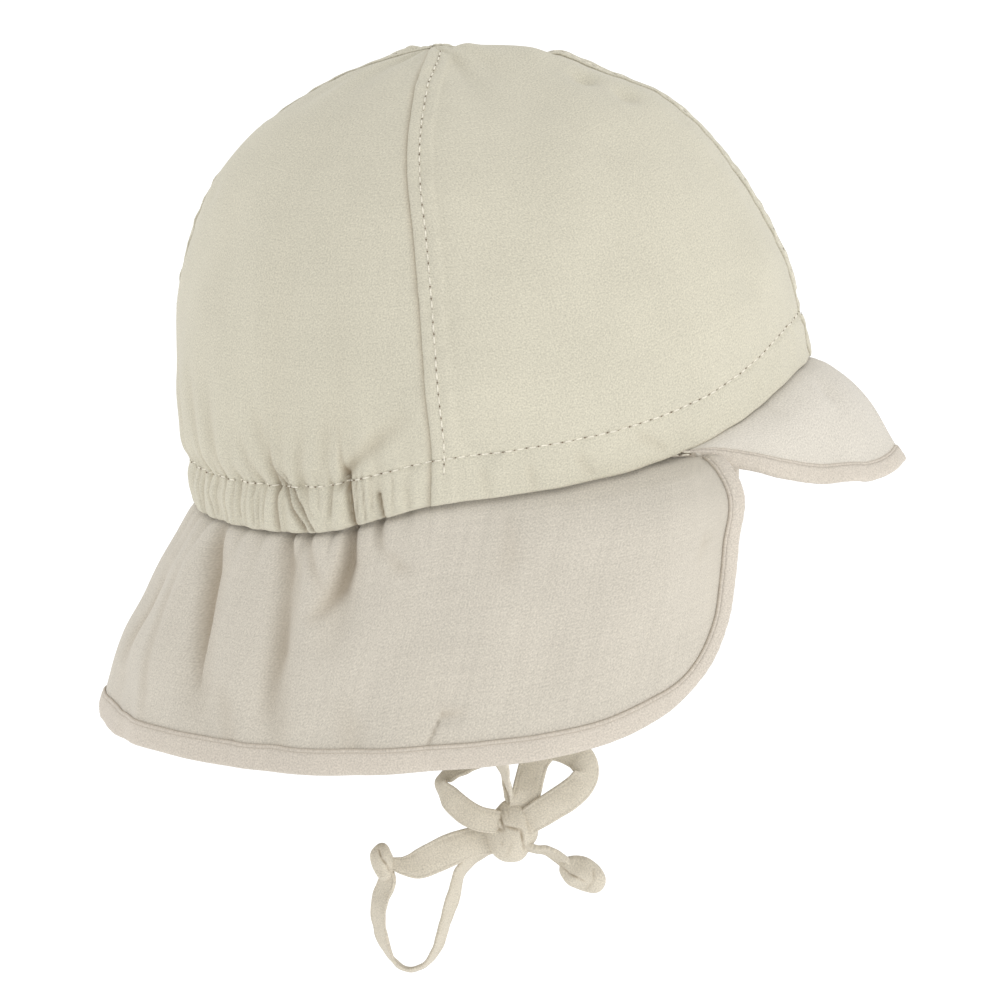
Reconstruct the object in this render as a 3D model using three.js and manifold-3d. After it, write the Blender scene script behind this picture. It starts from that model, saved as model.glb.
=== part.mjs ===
// A toddler's legionnaire cap: a crown of four panels with a gathered hem, a soft peak,
// a bound neck flap, and two flat ties knotted in a bow under the chin.
// Millimetres, +Z up, shaped as worn: the peak points to -Y, the wearer's right is -X.
// The origin is the centre of the head opening. Angles go round the head from the
// front (0) over the wearer's right (90) and the back (180) to the left (270).
import * as THREE from "three";
import * as BufferGeometryUtils from "three/addons/utils/BufferGeometryUtils.js";
import Module from "manifold-3d";

// Head opening and crown
const openingWidth = 132;
const openingLength = 160;
const openingMiddle = 0.3; // place of its middle along Y
const rimFall = 39.9; // height between the rim's front and its lowest stretch
const apexHeight = 99.6;
const apexBack = 17.6; // place of the apex along Y
const crownSwell = 10; // how far the panels swell past a plain dome
const seamAngle = 98; // side seams, a little behind the ears
const apexHole = 1.6; // radius left open where the four tips meet

// Cloth
const crownWall = 1.1;
const flapWall = 1.1;
const peakWall = 1.6;
const bindingWall = 0.8;
const clearance = 0.35; // air between touching pieces
const seamRidge = 0.5; // height of the seam allowance under the topstitched side
const seamRidgeWidth = 4.6;

// Hem casing with the elastic
const casingHeight = 11.5;
const casingWall = 2.3;
const gatherDepth = 2.9;
const casingPinch = 2.4; // how far the elastic's stitch line draws in
const hemTuck = 7; // how far the flap and the peak reach up inside the hem
const tuckGap = 0.65; // air between the hem and the cloth tucked into it

// Neck flap
const flapLevel = 75; // depth of its hem under the opening's centre
const flapFlare = 26; // how far the hem stands out at the back
const flapFoldDepth = 5;
const flapFrontAngle = 46.8;
const flapStart = 1.6; // its front edge starts this far under the rim
const flapLag = 1.8; // the left front edge hangs this many degrees further back
const gatherFade = 0.13; // share of the drop over which the hem's gathers fade
const frontStrip = 6; // degrees behind its front edge that hang as the edge does
const seamEase = 10; // degrees over which its ends blend into what they meet
const belowRim = 0.2; // its first hanging row lies this far under the rim

// Peak
const peakLength = 26.7; // from the front seam ahead to the tip
const peakSpread = 5; // how far its edge stands out to the side of its seam
const peakFall = 26.5; // from its seam down to its edge, at the front
const peakBulge = 4.4;
const peakSeamDrop = 1;
const peakGap = 0.9; // degrees between its end and the flap along the seam

// Bindings
const flapBindingWidth = 5;
const peakBindingWidth = 4.2;
const bindingMargin = 0.8; // sheet kept plain just inside a binding
const bindingEase = 0.6; // air between a binding and the cloth folded into it
const foldFlat = 0.6; // share of a binding's thickness that its folded edge keeps flat

// Ties
const tieWidth = 7.6;
const tieThickness = 1;
const tieSteps = 2; // sections for each point of a route
const bowCentre = { x: 0, y: -3.7, z: -106.1 };
const bowTurn = 5; // the bow's face is turned this far from the wearer's right

const creamCrown = new THREE.MeshStandardMaterial({ color: 0xd6cfbd, roughness: 0.95, metalness: 0 });
const creamFlap = new THREE.MeshStandardMaterial({ color: 0xcfc7b8, roughness: 0.95, metalness: 0 });
const creamBinding = new THREE.MeshStandardMaterial({ color: 0xd8cec0, roughness: 0.9, metalness: 0 });
const creamTie = new THREE.MeshStandardMaterial({ color: 0xd9d1be, roughness: 0.9, metalness: 0 });

// Height of the rim round the opening, as a share of rimFall
const rimRows = [
  { angle: 0, rise: 0.535 },
  { angle: 13, rise: 0.512 },
  { angle: 22.5, rise: 0.443 },
  { angle: 36, rise: 0.284 },
  { angle: 48, rise: 0.144 },
  { angle: 65, rise: -0.005 },
  { angle: 86, rise: -0.126 },
  { angle: 97, rise: -0.182 },
  { angle: 110, rise: -0.317 },
  { angle: 118, rise: -0.394 },
  { angle: 127, rise: -0.431 },
  { angle: 148, rise: -0.446 },
  { angle: 180, rise: -0.435 },
];

// Swell of the panels past a dome, from the rim (turn 0) to the apex (turn 90), as
// shares of crownSwell: outward at the front, side and back, the sides' drift to the
// back, and the rise of the top ahead of the apex
const crownRows = [
  { turn: 0, front: 0, side: 0, back: 0, drift: 0, lift: 0 },
  { turn: 8, front: -0.2, side: 0.24, back: 0.42, drift: -0.08, lift: 0.02 },
  { turn: 16, front: -0.26, side: 0.38, back: 0.66, drift: 0, lift: 0.05 },
  { turn: 38, front: -0.06, side: 0.58, back: 1.16, drift: 0.28, lift: 0.17 },
  { turn: 50, front: 0.08, side: 0.53, back: 1.12, drift: 0.45, lift: 0.25 },
  { turn: 66, front: 0.08, side: 0.3, back: 0.5, drift: 0.36, lift: 0.36 },
  { turn: 78, front: 0.03, side: 0.1, back: 0.15, drift: 0.13, lift: 0.31 },
  { turn: 90, front: 0, side: 0, back: 0, drift: 0, lift: 0 },
];

// Gathers of the hem on the wearer's right: place as a share of the way from the side
// seam to the back one, depth of gatherDepth, run up the crown of casingHeight, and
// width in degrees
const gatherRows = [
  { place: 0.0549, depth: 0.3, width: 1.3, run: 1 },
  { place: 0.122, depth: 0.85, width: 1.2, run: 0.8 },
  { place: 0.189, depth: 1, width: 1.3, run: 2.2 },
  { place: 0.238, depth: 0.6, width: 1, run: 1 },
  { place: 0.311, depth: 0.9, width: 1.4, run: 1.2 },
  { place: 0.366, depth: 0.95, width: 1.3, run: 3 },
  { place: 0.439, depth: 0.55, width: 1.3, run: 1.6 },
  { place: 0.518, depth: 0.6, width: 1.4, run: 1 },
  { place: 0.61, depth: 0.7, width: 1.5, run: 2.6 },
  { place: 0.707, depth: 0.75, width: 1.6, run: 1.4 },
  { place: 0.805, depth: 0.8, width: 1.7, run: 2 },
  { place: 0.896, depth: 0.7, width: 1.7, run: 1.2 },
];
const gatherShift = 2.3; // the left side's gathers sit this far off a mirror image
const wideGather = 5; // degrees between gathers past which a panel has one column more

// Flap's edge from the top of its front to the side seam: the point of the rim that each
// column starts from and the point where it ends, as shares of the way from
// flapFrontAngle to seamAngle, and its level as a share of flapLevel
const flapFrontRows = [
  { top: 0.09, end: 0, level: null },
  { top: 0.117, end: 0, level: -0.03 },
  { top: 0.156, end: 0, level: -0.18 },
  { top: 0.203, end: 0, level: -0.35 },
  { top: 0.262, end: 0.016, level: -0.5 },
  { top: 0.346, end: 0.082, level: -0.64 },
  { top: 0.453, end: 0.207, level: -0.745 },
  { top: 0.59, end: 0.404, level: -0.84 },
  { top: 0.727, end: 0.609, level: -0.89 },
  { top: 0.863, end: 0.844, level: -0.925 },
];
// Level of the flap's hem behind it, as a share of flapLevel
const flapHemRows = [
  { angle: 90, level: -0.925 },
  { angle: 105, level: -0.957 },
  { angle: 118, level: -0.978 },
  { angle: 131, level: -0.984 },
  { angle: 147, level: -0.978 },
  { angle: 163, level: -0.985 },
  { angle: 180, level: -0.987 },
];

// Flare of the flap: at the hem round the head, and down the cloth at the back and
// along the front edges, as shares
const flareRows = [
  { angle: 39, flare: 0.6 },
  { angle: 55, flare: 0.52 },
  { angle: 75, flare: 0.47 },
  { angle: 95, flare: 0.5 },
  { angle: 115, flare: 0.58 },
  { angle: 130, flare: 0.68 },
  { angle: 145, flare: 0.84 },
  { angle: 162, flare: 1.0 },
  { angle: 180, flare: 1.09 },
];
const flareDropRows = [
  { drop: 0, out: 0, front: 0 },
  { drop: 0.06, out: 0.1, front: 0.14 },
  { drop: 0.14, out: 0.2, front: 0.66 },
  { drop: 0.25, out: 0.33, front: 0.94 },
  { drop: 0.44, out: 0.56, front: 1 },
  { drop: 0.63, out: 0.8, front: 1 },
  { drop: 0.86, out: 0.93, front: 1 },
  { drop: 1, out: 1, front: 1 },
];

// Folds of the flap: place at the rim and at the hem, width in degrees, depth as a
// share of flapFoldDepth (hollows positive), and the stretch of the drop they cover
const flapFoldRows = [
  { top: 147, hem: 136, width: 4.2, depth: 1.1, from: -0.05, to: 1 },
  { top: 126, hem: 123, width: 3.6, depth: 1.15, from: -0.05, to: 1.1 },
  { top: 112, hem: 117, width: 3.2, depth: 0.85, from: -0.05, to: 0.62 },
  { top: 136, hem: 129, width: 4.5, depth: -0.5, from: 0.05, to: 1.1 },
  { top: 156, hem: 150, width: 5, depth: -0.6, from: 0, to: 1.2 },
  { top: 93, hem: 97, width: 4.5, depth: 0.35, from: 0.5, to: 1.25 },
  { top: 167, hem: 166, width: 5, depth: 0.7, from: -0.05, to: 1.1 },
  { top: 198, hem: 205, width: 5, depth: 1, from: -0.05, to: 1.1 },
  { top: 214, hem: 222, width: 5, depth: 0.9, from: -0.05, to: 1 },
  { top: 233, hem: 237, width: 4.2, depth: 1, from: -0.05, to: 1.1 },
  { top: 248, hem: 245, width: 3.6, depth: 0.7, from: -0.05, to: 0.7 },
];

// Outer edge of the peak seen from its seam: the seam's place as a share of peakAngle,
// and the way out to the side, ahead and down to the edge as shares of peakSpread,
// peakLength and peakFall
const peakRows = [
  { place: 0, across: 0, reach: 1, fall: 0.97 },
  { place: 0.119, across: 0.118, reach: 0.976, fall: 0.985 },
  { place: 0.297, across: 0.72, reach: 0.79, fall: 0.995 },
  { place: 0.495, across: 1, reach: 0.543, fall: 0.8 },
  { place: 0.693, across: 1.02, reach: 0.338, fall: 0.51 },
  { place: 0.861, across: 0.778, reach: 0.164, fall: 0.227 },
  { place: 1, across: 0.33, reach: 0.172, fall: 0.041 },
];

// Rows up a crown panel: height in casing heights first, then the share of the way
// from the stitch line to the apex
const casingShares = [0, 0.33, 0.67, 1, 1.4];
const crownShares = [0.1, 0.21, 0.33, 0.46, 0.6, 0.75, 0.9, 1];
const frontColumns = 8; // columns of a front panel between its seam allowances

// Routes of the bow's ribbons from its centre: along the bow to the right as the
// wearer's right side is seen, out towards that side, and up; turn is the ribbon's
// twist in degrees, with 0 facing out
const loopLeftRoute = [
  { along: -4.6, out: 3.2, up: 3.4, turn: 10 },
  { along: -9.4, out: 3.4, up: 4.4, turn: 0 },
  { along: -13.8, out: 2.8, up: 6.6, turn: -8 },
  { along: -17.4, out: 1.4, up: 9.8, turn: -30 },
  { along: -19.6, out: -1, up: 12.9, turn: -70 },
  { along: -16.9, out: -2.6, up: 15.6, turn: -68 },
  { along: -13, out: -3.4, up: 17.6, turn: -66 },
  { along: -8.6, out: -3.8, up: 19.4, turn: -70 },
  { along: -5, out: -3.8, up: 19.2, turn: -80 },
  { along: -3.4, out: -3.4, up: 16.4, turn: -88 },
  { along: -2.4, out: -2.8, up: 12.2, turn: -88 },
  { along: -1.6, out: -2, up: 8.2, turn: -88 },
];
const loopRightRoute = [
  { along: 6.4, out: 1.4, up: 2.6, turn: 0 },
  { along: 10.6, out: 2, up: 4.6, turn: 0 },
  { along: 15.4, out: 1.8, up: 7.8, turn: 0 },
  { along: 19.4, out: 1, up: 11.6, turn: 6 },
  { along: 20.6, out: -0.4, up: 15.6, turn: 30 },
  { along: 18.6, out: -1.8, up: 19.2, turn: 20 },
  { along: 14.4, out: -2.8, up: 21.2, turn: 4 },
  { along: 10.6, out: -3.4, up: 20.4, turn: 0 },
  { along: 8.2, out: -3.6, up: 16.6, turn: 10 },
  { along: 6.6, out: -3.2, up: 12.4, turn: 12 },
  { along: 4.6, out: -2.2, up: 8.6, turn: 10 },
];
const tailLeftRoute = [
  { along: -5.4, out: -0.8, up: -1.8, turn: 0 },
  { along: -11.4, out: 0.2, up: -2.9, turn: 0 },
  { along: -16.8, out: 1.2, up: -4.5, turn: 0 },
  { along: -22, out: 1.6, up: -6.9, turn: 0 },
  { along: -26.4, out: 1.4, up: -8.8, turn: 14 },
  { along: -30.4, out: 1, up: -9, turn: 48 },
];
const tailReturnRoute = [
  { along: -33.8, out: 0.6, up: -13.4, turn: 40 },
  { along: -35.4, out: 0.4, up: -17.4, turn: 58 },
  { along: -36.2, out: 0.2, up: -22.6, turn: 62 },
  { along: -35, out: 0.2, up: -29.4, turn: 68 },
  { along: -32.4, out: 0, up: -34.8, turn: 72 },
  { along: -28.4, out: -0.2, up: -37.9, turn: 72 },
  { along: -24, out: -0.4, up: -36.3, turn: 72 },
  { along: -20.7, out: -0.8, up: -31.6, turn: 66 },
  { along: -18.7, out: -1.2, up: -25.2, turn: 62 },
  { along: -16.9, out: -1.6, up: -19.2, turn: 62 },
  { along: -15, out: -2.2, up: -13.2, turn: 62 },
  { along: -12.2, out: -3.2, up: -8.8, turn: 55 },
  { along: -8, out: -4.6, up: -6.2, turn: 50 },
];
const tailRightRoute = [
  { along: 5.8, out: 0.6, up: -4.9, turn: 66 },
  { along: 8.8, out: 0.6, up: -5.3, turn: 70 },
  { along: 12, out: 0.4, up: -6.6, turn: 66 },
];

// Routes of the two ties from the hem to the bow, in the cap's own frame
const tieRightRoute = [
  { x: -60.7, y: 0, z: -2.5, turn: 0 },
  { x: -60.2, y: -0.2, z: -14, turn: 0 },
  { x: -57.8, y: -0.6, z: -32, turn: 4 },
  { x: -51, y: -1.2, z: -52, turn: 15 },
  { x: -39.5, y: -1.8, z: -68.5, turn: 40 },
  { x: -24, y: -2.1, z: -81.3, turn: 66 },
  { x: -12, y: -2.8, z: -92.8, turn: 72 },
  { x: -4.4, y: -3.4, z: -99.6, turn: 70 },
];
const tieLeftRoute = [
  { x: 60.7, y: 0, z: -2.5, turn: 0 },
  { x: 60.2, y: -0.4, z: -14, turn: 0 },
  { x: 57.6, y: -1.6, z: -32, turn: 0 },
  { x: 50, y: -3.6, z: -51, turn: 0 },
  { x: 36, y: -6.2, z: -67, turn: 0 },
  { x: 20.5, y: -8.2, z: -77.5, turn: 0 },
  { x: 10.5, y: -8.8, z: -86.5, turn: 0 },
  { x: 5.6, y: -7.3, z: -95.6, turn: 0 },
];

// Knots as flattened balls: centre in the bow's directions, half sizes, and tilt
const knotRows = [
  { name: "bow_knot", along: 0, out: 0, up: 0, long: 6.6, deep: 4.6, high: 7.8, tilt: -12 },
  { name: "end_knot_left", along: -34.4, out: 0.8, up: -8, long: 3.1, deep: 3, high: 5, tilt: 8 },
  { name: "end_knot_right", along: 17.4, out: 0.4, up: -10.8, long: 6.2, deep: 3.4, high: 4.4, tilt: -24 },
];
const knotRound = 12;
const knotRings = 8;

const up = new THREE.Vector3(0, 0, 1);
const stack = new THREE.Group();

// Value of a table's column between its rows, along a smooth curve
function smoothColumn(rows, by, column, at) {
  const last = rows.length - 1;
  if (at <= rows[0][by]) return rows[0][column];
  if (at >= rows[last][by]) return rows[last][column];
  let i = 0;
  while (at > rows[i + 1][by]) i++;
  const slope = (k) => {
    const a = rows[Math.max(k - 1, 0)];
    const b = rows[Math.min(k + 1, last)];
    return (b[column] - a[column]) / (b[by] - a[by]);
  };
  const span = rows[i + 1][by] - rows[i][by];
  const t = (at - rows[i][by]) / span;
  const rest = 1 - t;
  return (
    rows[i][column] * rest * rest * (1 + 2 * t) +
    rows[i + 1][column] * t * t * (3 - 2 * t) +
    span * t * rest * (slope(i) * rest - slope(i + 1) * t)
  );
}

function bell(offset, width) {
  return Math.exp(-((offset / width) ** 2));
}

function mix(a, b, t) {
  return a + (b - a) * t;
}

// The same angle from 0 to 360
function roundAngle(angle) {
  return ((angle % 360) + 360) % 360;
}

// Angle on the wearer's right that mirrors one anywhere round the head
function nearSide(angle) {
  const round = roundAngle(angle);
  return round > 180 ? 360 - round : round;
}

function outward(angle) {
  const a = THREE.MathUtils.degToRad(angle);
  return new THREE.Vector3(-Math.sin(a), -Math.cos(a), 0);
}

function rimHeight(angle) {
  return rimFall * smoothColumn(rimRows, "angle", "rise", nearSide(angle));
}

function rimPoint(angle) {
  const dir = outward(angle);
  return new THREE.Vector3(
    (dir.x * openingWidth) / 2,
    openingMiddle + (dir.y * openingLength) / 2,
    rimHeight(angle),
  );
}

const backSink = 0.3; // share of the top's rise that the back sinks by

// Dome of the crown without its gathers, by angle and turn
function domePoint(angle, turn) {
  const dir = outward(angle);
  const rim = rimPoint(angle);
  const t = THREE.MathUtils.degToRad(turn);
  const front = Math.max(-dir.y, 0) ** 2;
  const back = Math.max(dir.y, 0) ** 2;
  const side = dir.x ** 2;
  const swell = (column) => crownSwell * smoothColumn(crownRows, "turn", column, turn);
  const swollen = front * swell("front") + side * swell("side") + back * swell("back");
  return new THREE.Vector3(
    rim.x * Math.cos(t) + dir.x * swollen,
    mix(apexBack, rim.y, Math.cos(t)) + dir.y * swollen + side * swell("drift"),
    mix(rim.z, apexHeight, Math.sin(t)) + (front - backSink * back) * swell("lift"),
  );
}

// Turn of the dome at a height above the rim
function turnAt(angle, height) {
  return THREE.MathUtils.radToDeg(Math.asin(height / (apexHeight - rimHeight(angle))));
}

function gatherAngle(row) {
  return mix(seamAngle, 180, row.place);
}

// Depth of the gathers at an angle and a height above the rim
function gatherAt(angle, height) {
  const near = angle > 180 ? 360 - angle + gatherShift : angle;
  const above = Math.max(height - casingHeight, 0);
  let depth = 0;
  for (const row of gatherRows) {
    const reach = Math.exp(-above / (row.run * casingHeight));
    const spread = row.width * (1 + above / casingHeight / 2);
    depth += gatherDepth * row.depth * reach * bell(near - gatherAngle(row), spread);
  }
  return depth;
}

const elasticEase = 25; // degrees behind the side seam over which the elastic's pull grows

// Where the elastic draws the hem in along its stitch line, 0 to 1
function elasticAt(angle) {
  return THREE.MathUtils.smoothstep(nearSide(angle), seamAngle, seamAngle + elasticEase);
}

function crownNormal(angle, turn) {
  const step = 0.2;
  const across = domePoint(angle + step, turn).sub(domePoint(angle - step, turn));
  const rising = domePoint(angle, turn + step).sub(domePoint(angle, turn - step));
  return rising.cross(across).normalize();
}

const plainTop = 10; // degrees of turn below the apex over which the gathers fade

// Outer face of the crown, moved inward by a depth
function crownPoint(angle, turn, depth) {
  const point = domePoint(angle, turn);
  const height = point.z - rimHeight(angle);
  const pinch = casingPinch * elasticAt(angle) * bell(height - casingHeight, casingHeight / 3);
  const ease = THREE.MathUtils.clamp((90 - turn) / plainTop, 0, 1);
  const inward = gatherAt(angle, height) * ease + pinch - ridgeAt(angle) + depth;
  return point.addScaledVector(crownNormal(angle, turn), -inward);
}

// Angle that the seam allowance covers, and the step at its edge
const ridgeAngle = THREE.MathUtils.radToDeg(seamRidgeWidth / (openingWidth / 2));
const ridgeStep = 0.7;

// Raised seam allowance in front of each side seam and right of the middle ones
function ridgeAt(angle) {
  const beside = (distance) =>
    distance < 0 ? 0 : 1 - THREE.MathUtils.smoothstep(distance, ridgeAngle, ridgeAngle + ridgeStep);
  const round = roundAngle(angle);
  const middle = round < seamAngle ? beside(round) : beside(180 - round);
  return seamRidge * Math.max(beside(seamAngle - nearSide(angle)), middle);
}

// Closed solid between two sheets of points with the same rows and columns
function shell(outer, inner) {
  const rows = outer.length;
  const columns = outer[0].length;
  const positions = [];
  for (const sheet of [outer, inner])
    for (const row of sheet)
      for (const point of row) positions.push(point.x, point.y, point.z);
  const at = (side, i, j) => (side * rows + i) * columns + j;
  const index = [];
  const quad = (a, b, c, d) => index.push(a, b, c, a, c, d);
  for (let i = 0; i < rows - 1; i++) {
    for (let j = 0; j < columns - 1; j++) {
      quad(at(0, i, j), at(0, i, j + 1), at(0, i + 1, j + 1), at(0, i + 1, j));
      quad(at(1, i, j), at(1, i + 1, j), at(1, i + 1, j + 1), at(1, i, j + 1));
    }
    quad(at(0, i, 0), at(0, i + 1, 0), at(1, i + 1, 0), at(1, i, 0));
    quad(at(0, i, columns - 1), at(1, i, columns - 1), at(1, i + 1, columns - 1), at(0, i + 1, columns - 1));
  }
  for (let j = 0; j < columns - 1; j++) {
    quad(at(0, 0, j), at(1, 0, j), at(1, 0, j + 1), at(0, 0, j + 1));
    quad(at(0, rows - 1, j), at(0, rows - 1, j + 1), at(1, rows - 1, j + 1), at(1, rows - 1, j));
  }
  const geometry = new THREE.BufferGeometry();
  geometry.setAttribute("position", new THREE.Float32BufferAttribute(positions, 3));
  geometry.setIndex(signedVolume(positions, index) < 0 ? flipped(index) : index);
  return geometry;
}

function flipped(index) {
  const turned = [];
  for (let i = 0; i < index.length; i += 3) turned.push(index[i], index[i + 2], index[i + 1]);
  return turned;
}

function signedVolume(positions, index) {
  const corner = (k) => new THREE.Vector3().fromArray(positions, 3 * k);
  let volume = 0;
  for (let i = 0; i < index.length; i += 3)
    volume += corner(index[i]).dot(corner(index[i + 1]).cross(corner(index[i + 2])));
  return volume;
}

function addPiece(name, geometry, material) {
  const mesh = new THREE.Mesh(geometry, material);
  mesh.name = name;
  stack.add(mesh);
  return mesh;
}

// Columns of a back panel: each gather's valley and the cloth between them
function gatherColumns() {
  const angles = [seamAngle];
  gatherRows.forEach((row, i) => {
    const before = i ? gatherAngle(gatherRows[i - 1]) : seamAngle;
    const span = gatherAngle(row) - before;
    if (span > wideGather) angles.push(before + span / 3);
    angles.push(before + (span * 2) / 3, gatherAngle(row));
  });
  angles.push(180 - ridgeAngle - ridgeStep, 180 - ridgeAngle, 180);
  return angles;
}

function evenColumns(from, to, count) {
  return Array.from({ length: count }, (_, i) => mix(from, to, i / (count - 1)));
}

// Columns of the right front panel, from the front seam to the side seam
function frontPanelColumns() {
  const from = ridgeAngle + ridgeStep;
  const to = seamAngle - ridgeAngle - ridgeStep;
  return [0, ridgeAngle, ...evenColumns(from, to, frontColumns), seamAngle - ridgeAngle, seamAngle];
}

const rightColumns = gatherColumns();
const leftColumns = rightColumns
  .slice(1, -1)
  .map((angle) => 360 - angle + gatherShift)
  .filter((angle) => angle < 360 - seamAngle - 1)
  .concat([180, 360 - seamAngle])
  .sort((a, b) => a - b);

// Face of a panel at a depth, its side edges half a clearance off the seams
function panelSheet(angles, depthAt) {
  const middle = angles[Math.floor(angles.length / 2)];
  const holeTurn = 90 - THREE.MathUtils.radToDeg(apexHole / (openingWidth / 2));
  const turns = casingShares
    .map((share) => (angle) => turnAt(angle, share * casingHeight))
    .concat(
      crownShares.map((share) => (angle) => {
        const from = turnAt(angle, casingShares[casingShares.length - 1] * casingHeight);
        return mix(from, holeTurn, share);
      }),
    );
  return turns.map((turnOf, i) =>
    angles.map((angle, j) => {
      const turn = turnOf(angle);
      const point = crownPoint(angle, turn, depthAt(i));
      if (j > 0 && j < angles.length - 1) return point;
      const beyond = crownPoint(angle + (j ? -0.5 : 0.5), turn, depthAt(i)).sub(point);
      return point.addScaledVector(beyond.normalize(), clearance / 2);
    }),
  );
}

function wallAt(row) {
  return casingShares[row] <= 1 ? casingWall : crownWall;
}

function addPanel(name, angles) {
  const outer = panelSheet(angles, () => 0);
  const inner = panelSheet(angles, wallAt);
  addPiece(name, shell(outer, inner), creamCrown);
}

// Share of the way down the flap at an angle and a height
function flapDrop(angle, height) {
  const rim = rimHeight(angle);
  const hem = flapLevel * flapHemRows[flapHemRows.length - 1].level;
  return (rim - height) / (rim - hem);
}

function flapFoldAt(angle, drop) {
  let depth = 0;
  for (const fold of flapFoldRows) {
    const place = mix(fold.top, fold.hem, drop);
    const start = THREE.MathUtils.smoothstep(drop, fold.from, fold.from + 0.25);
    const end = 1 - THREE.MathUtils.smoothstep(drop, fold.to - 0.35, fold.to);
    depth += flapFoldDepth * fold.depth * start * end * bell(angle - place, fold.width);
  }
  return depth;
}

// Depth of the flap's middle face under the crown's face where it tucks into the hem
function flapTuckDepth(angle) {
  const peakEnd = peakAngle();
  const besidePeak = 1 - THREE.MathUtils.smoothstep(nearSide(angle), peakEnd, peakEnd + seamEase);
  const peakRoom = peakWall + tuckGap + bindingWall + bindingEase;
  return casingWall + tuckGap + besidePeak * peakRoom + flapWall / 2;
}

// Middle face of the flap below the rim, by angle and height
function flapPoint(angle, height) {
  const drop = Math.max(flapDrop(angle, height), 0);
  const near = nearSide(angle);
  const flare = flapFlare * smoothColumn(flareRows, "angle", "flare", near);
  const plain = smoothColumn(flareDropRows, "drop", "out", drop);
  const front = smoothColumn(flareDropRows, "drop", "front", drop);
  const spread = mix(front, plain, THREE.MathUtils.smoothstep(near, flapFrontAngle + frontStrip, seamAngle));
  const gathers = gatherAt(angle, 0) * Math.exp(-drop / gatherFade);
  const point = domePoint(angle, 0);
  point.addScaledVector(crownNormal(angle, 0), ridgeAt(angle) - flapTuckDepth(angle) - gathers);
  point.addScaledVector(outward(angle), flare * spread - flapFoldAt(angle, drop));
  point.z = height;
  return point;
}

// Angle and height of a point set in from the flap's edge, square to it
function insetFrom(edge, i, width) {
  const before = edge[Math.max(i - 1, 0)];
  const after = edge[Math.min(i + 1, edge.length - 1)];
  const here = edge[i];
  const degree = flapPoint(here.angle + 0.5, here.height).distanceTo(flapPoint(here.angle - 0.5, here.height));
  const along = (after.angle - before.angle) * degree;
  const rising = after.height - before.height;
  const length = Math.hypot(along, rising);
  return {
    angle: here.angle - (rising / length) * (width / degree),
    height: here.height + (along / length) * width,
  };
}

// Columns of the flap: the rim angle each starts from and its point on the edge
function flapColumns() {
  const front = flapFrontRows.map((row) => {
    const top = mix(flapFrontAngle, seamAngle, row.top);
    const angle = mix(flapFrontAngle, seamAngle, row.end);
    return { top, angle, height: row.level === null ? rimHeight(top) - flapStart : row.level * flapLevel };
  });
  const hemHeight = (angle) => flapLevel * smoothColumn(flapHemRows, "angle", "level", nearSide(angle));
  const plain = (angle) => ({ top: angle, angle, height: hemHeight(angle) });
  const mirrored = front.map((c) => {
    const lag = flapLag * (1 - THREE.MathUtils.smoothstep(c.angle, flapFrontAngle, seamAngle - seamEase));
    return { top: 360 - c.top - lag, angle: 360 - c.angle - lag, height: c.height };
  });
  return [...front, ...rightColumns.map(plain), ...leftColumns.slice(1).map(plain), ...mirrored.reverse()];
}

const flapShares = [0.04, 0.2, 0.42, 0.69, 1]; // rows from the rim to the binding

function flapMiddle() {
  const columns = flapColumns();
  const inset = columns.map((_, i) => insetFrom(columns, i, flapBindingWidth + bindingMargin));
  const tucked = (height) =>
    columns.map((c) => crownPoint(c.top, turnAt(c.top, height), flapTuckDepth(c.top)));
  const hanging = flapShares.map((share) =>
    columns.map((c, i) => {
      const from = rimHeight(c.top) - belowRim;
      return flapPoint(mix(c.top, inset[i].angle, share), mix(from, inset[i].height, share));
    }),
  );
  const edge = columns.map((c) => flapPoint(c.angle, c.height));
  return [tucked(hemTuck), tucked(0), ...hanging, edge];
}

// Directions square to a sheet of points
function sheetNormals(sheet) {
  return sheet.map((row, i) =>
    row.map((_, j) => {
      const above = sheet[Math.max(i - 1, 0)][j];
      const below = sheet[Math.min(i + 1, sheet.length - 1)][j];
      const before = row[Math.max(j - 1, 0)];
      const after = row[Math.min(j + 1, row.length - 1)];
      return below.clone().sub(above).cross(after.clone().sub(before)).normalize();
    }),
  );
}

function offsetSheet(sheet, normals, distance) {
  return sheet.map((row, i) => row.map((point, j) => point.clone().addScaledVector(normals[i][j], distance)));
}

function addSheet(name, sheet, normals, wall, material) {
  const faces = [offsetSheet(sheet, normals, wall / 2), offsetSheet(sheet, normals, -wall / 2)];
  addPiece(name, shell(...faces), material);
}

// Folded strip over the last row of a sheet, clear of the cloth inside it
function addBinding(name, sheet, normals, wall, width) {
  const last = sheet.length - 1;
  const profile = (depths) =>
    depths.map(({ inward, lift }) =>
      sheet[last].map((edge, j) => {
        const inner = sheet[last - 1][j];
        const share = inward / (width + bindingMargin);
        const normal = normals[last][j].clone().lerp(normals[last - 1][j], share);
        return edge.clone().lerp(inner, share).addScaledVector(normal, lift);
      }),
    );
  const inside = wall / 2 + bindingEase;
  const outside = inside + bindingWall;
  const outer = profile([
    { inward: width, lift: outside },
    { inward: -bindingEase - bindingWall, lift: outside * foldFlat },
    { inward: -bindingEase - bindingWall, lift: -outside * foldFlat },
    { inward: width, lift: -outside },
  ]);
  const inner = profile([
    { inward: width, lift: inside },
    { inward: -bindingEase, lift: inside },
    { inward: -bindingEase, lift: -inside },
    { inward: width, lift: -inside },
  ]);
  addPiece(name, shell(outer, inner), creamBinding);
}

function addFlap() {
  const sheet = flapMiddle();
  const normals = sheetNormals(sheet);
  addSheet("neck_flap", sheet, normals, flapWall, creamFlap);
  addBinding("flap_binding", sheet, normals, flapWall, flapBindingWidth);
}

const peakShares = [0, 0.18, 0.42, 0.68]; // rows from the seam to the peak's binding
const leastInset = 0.2; // share of the peak left inside its binding at the short corners

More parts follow.
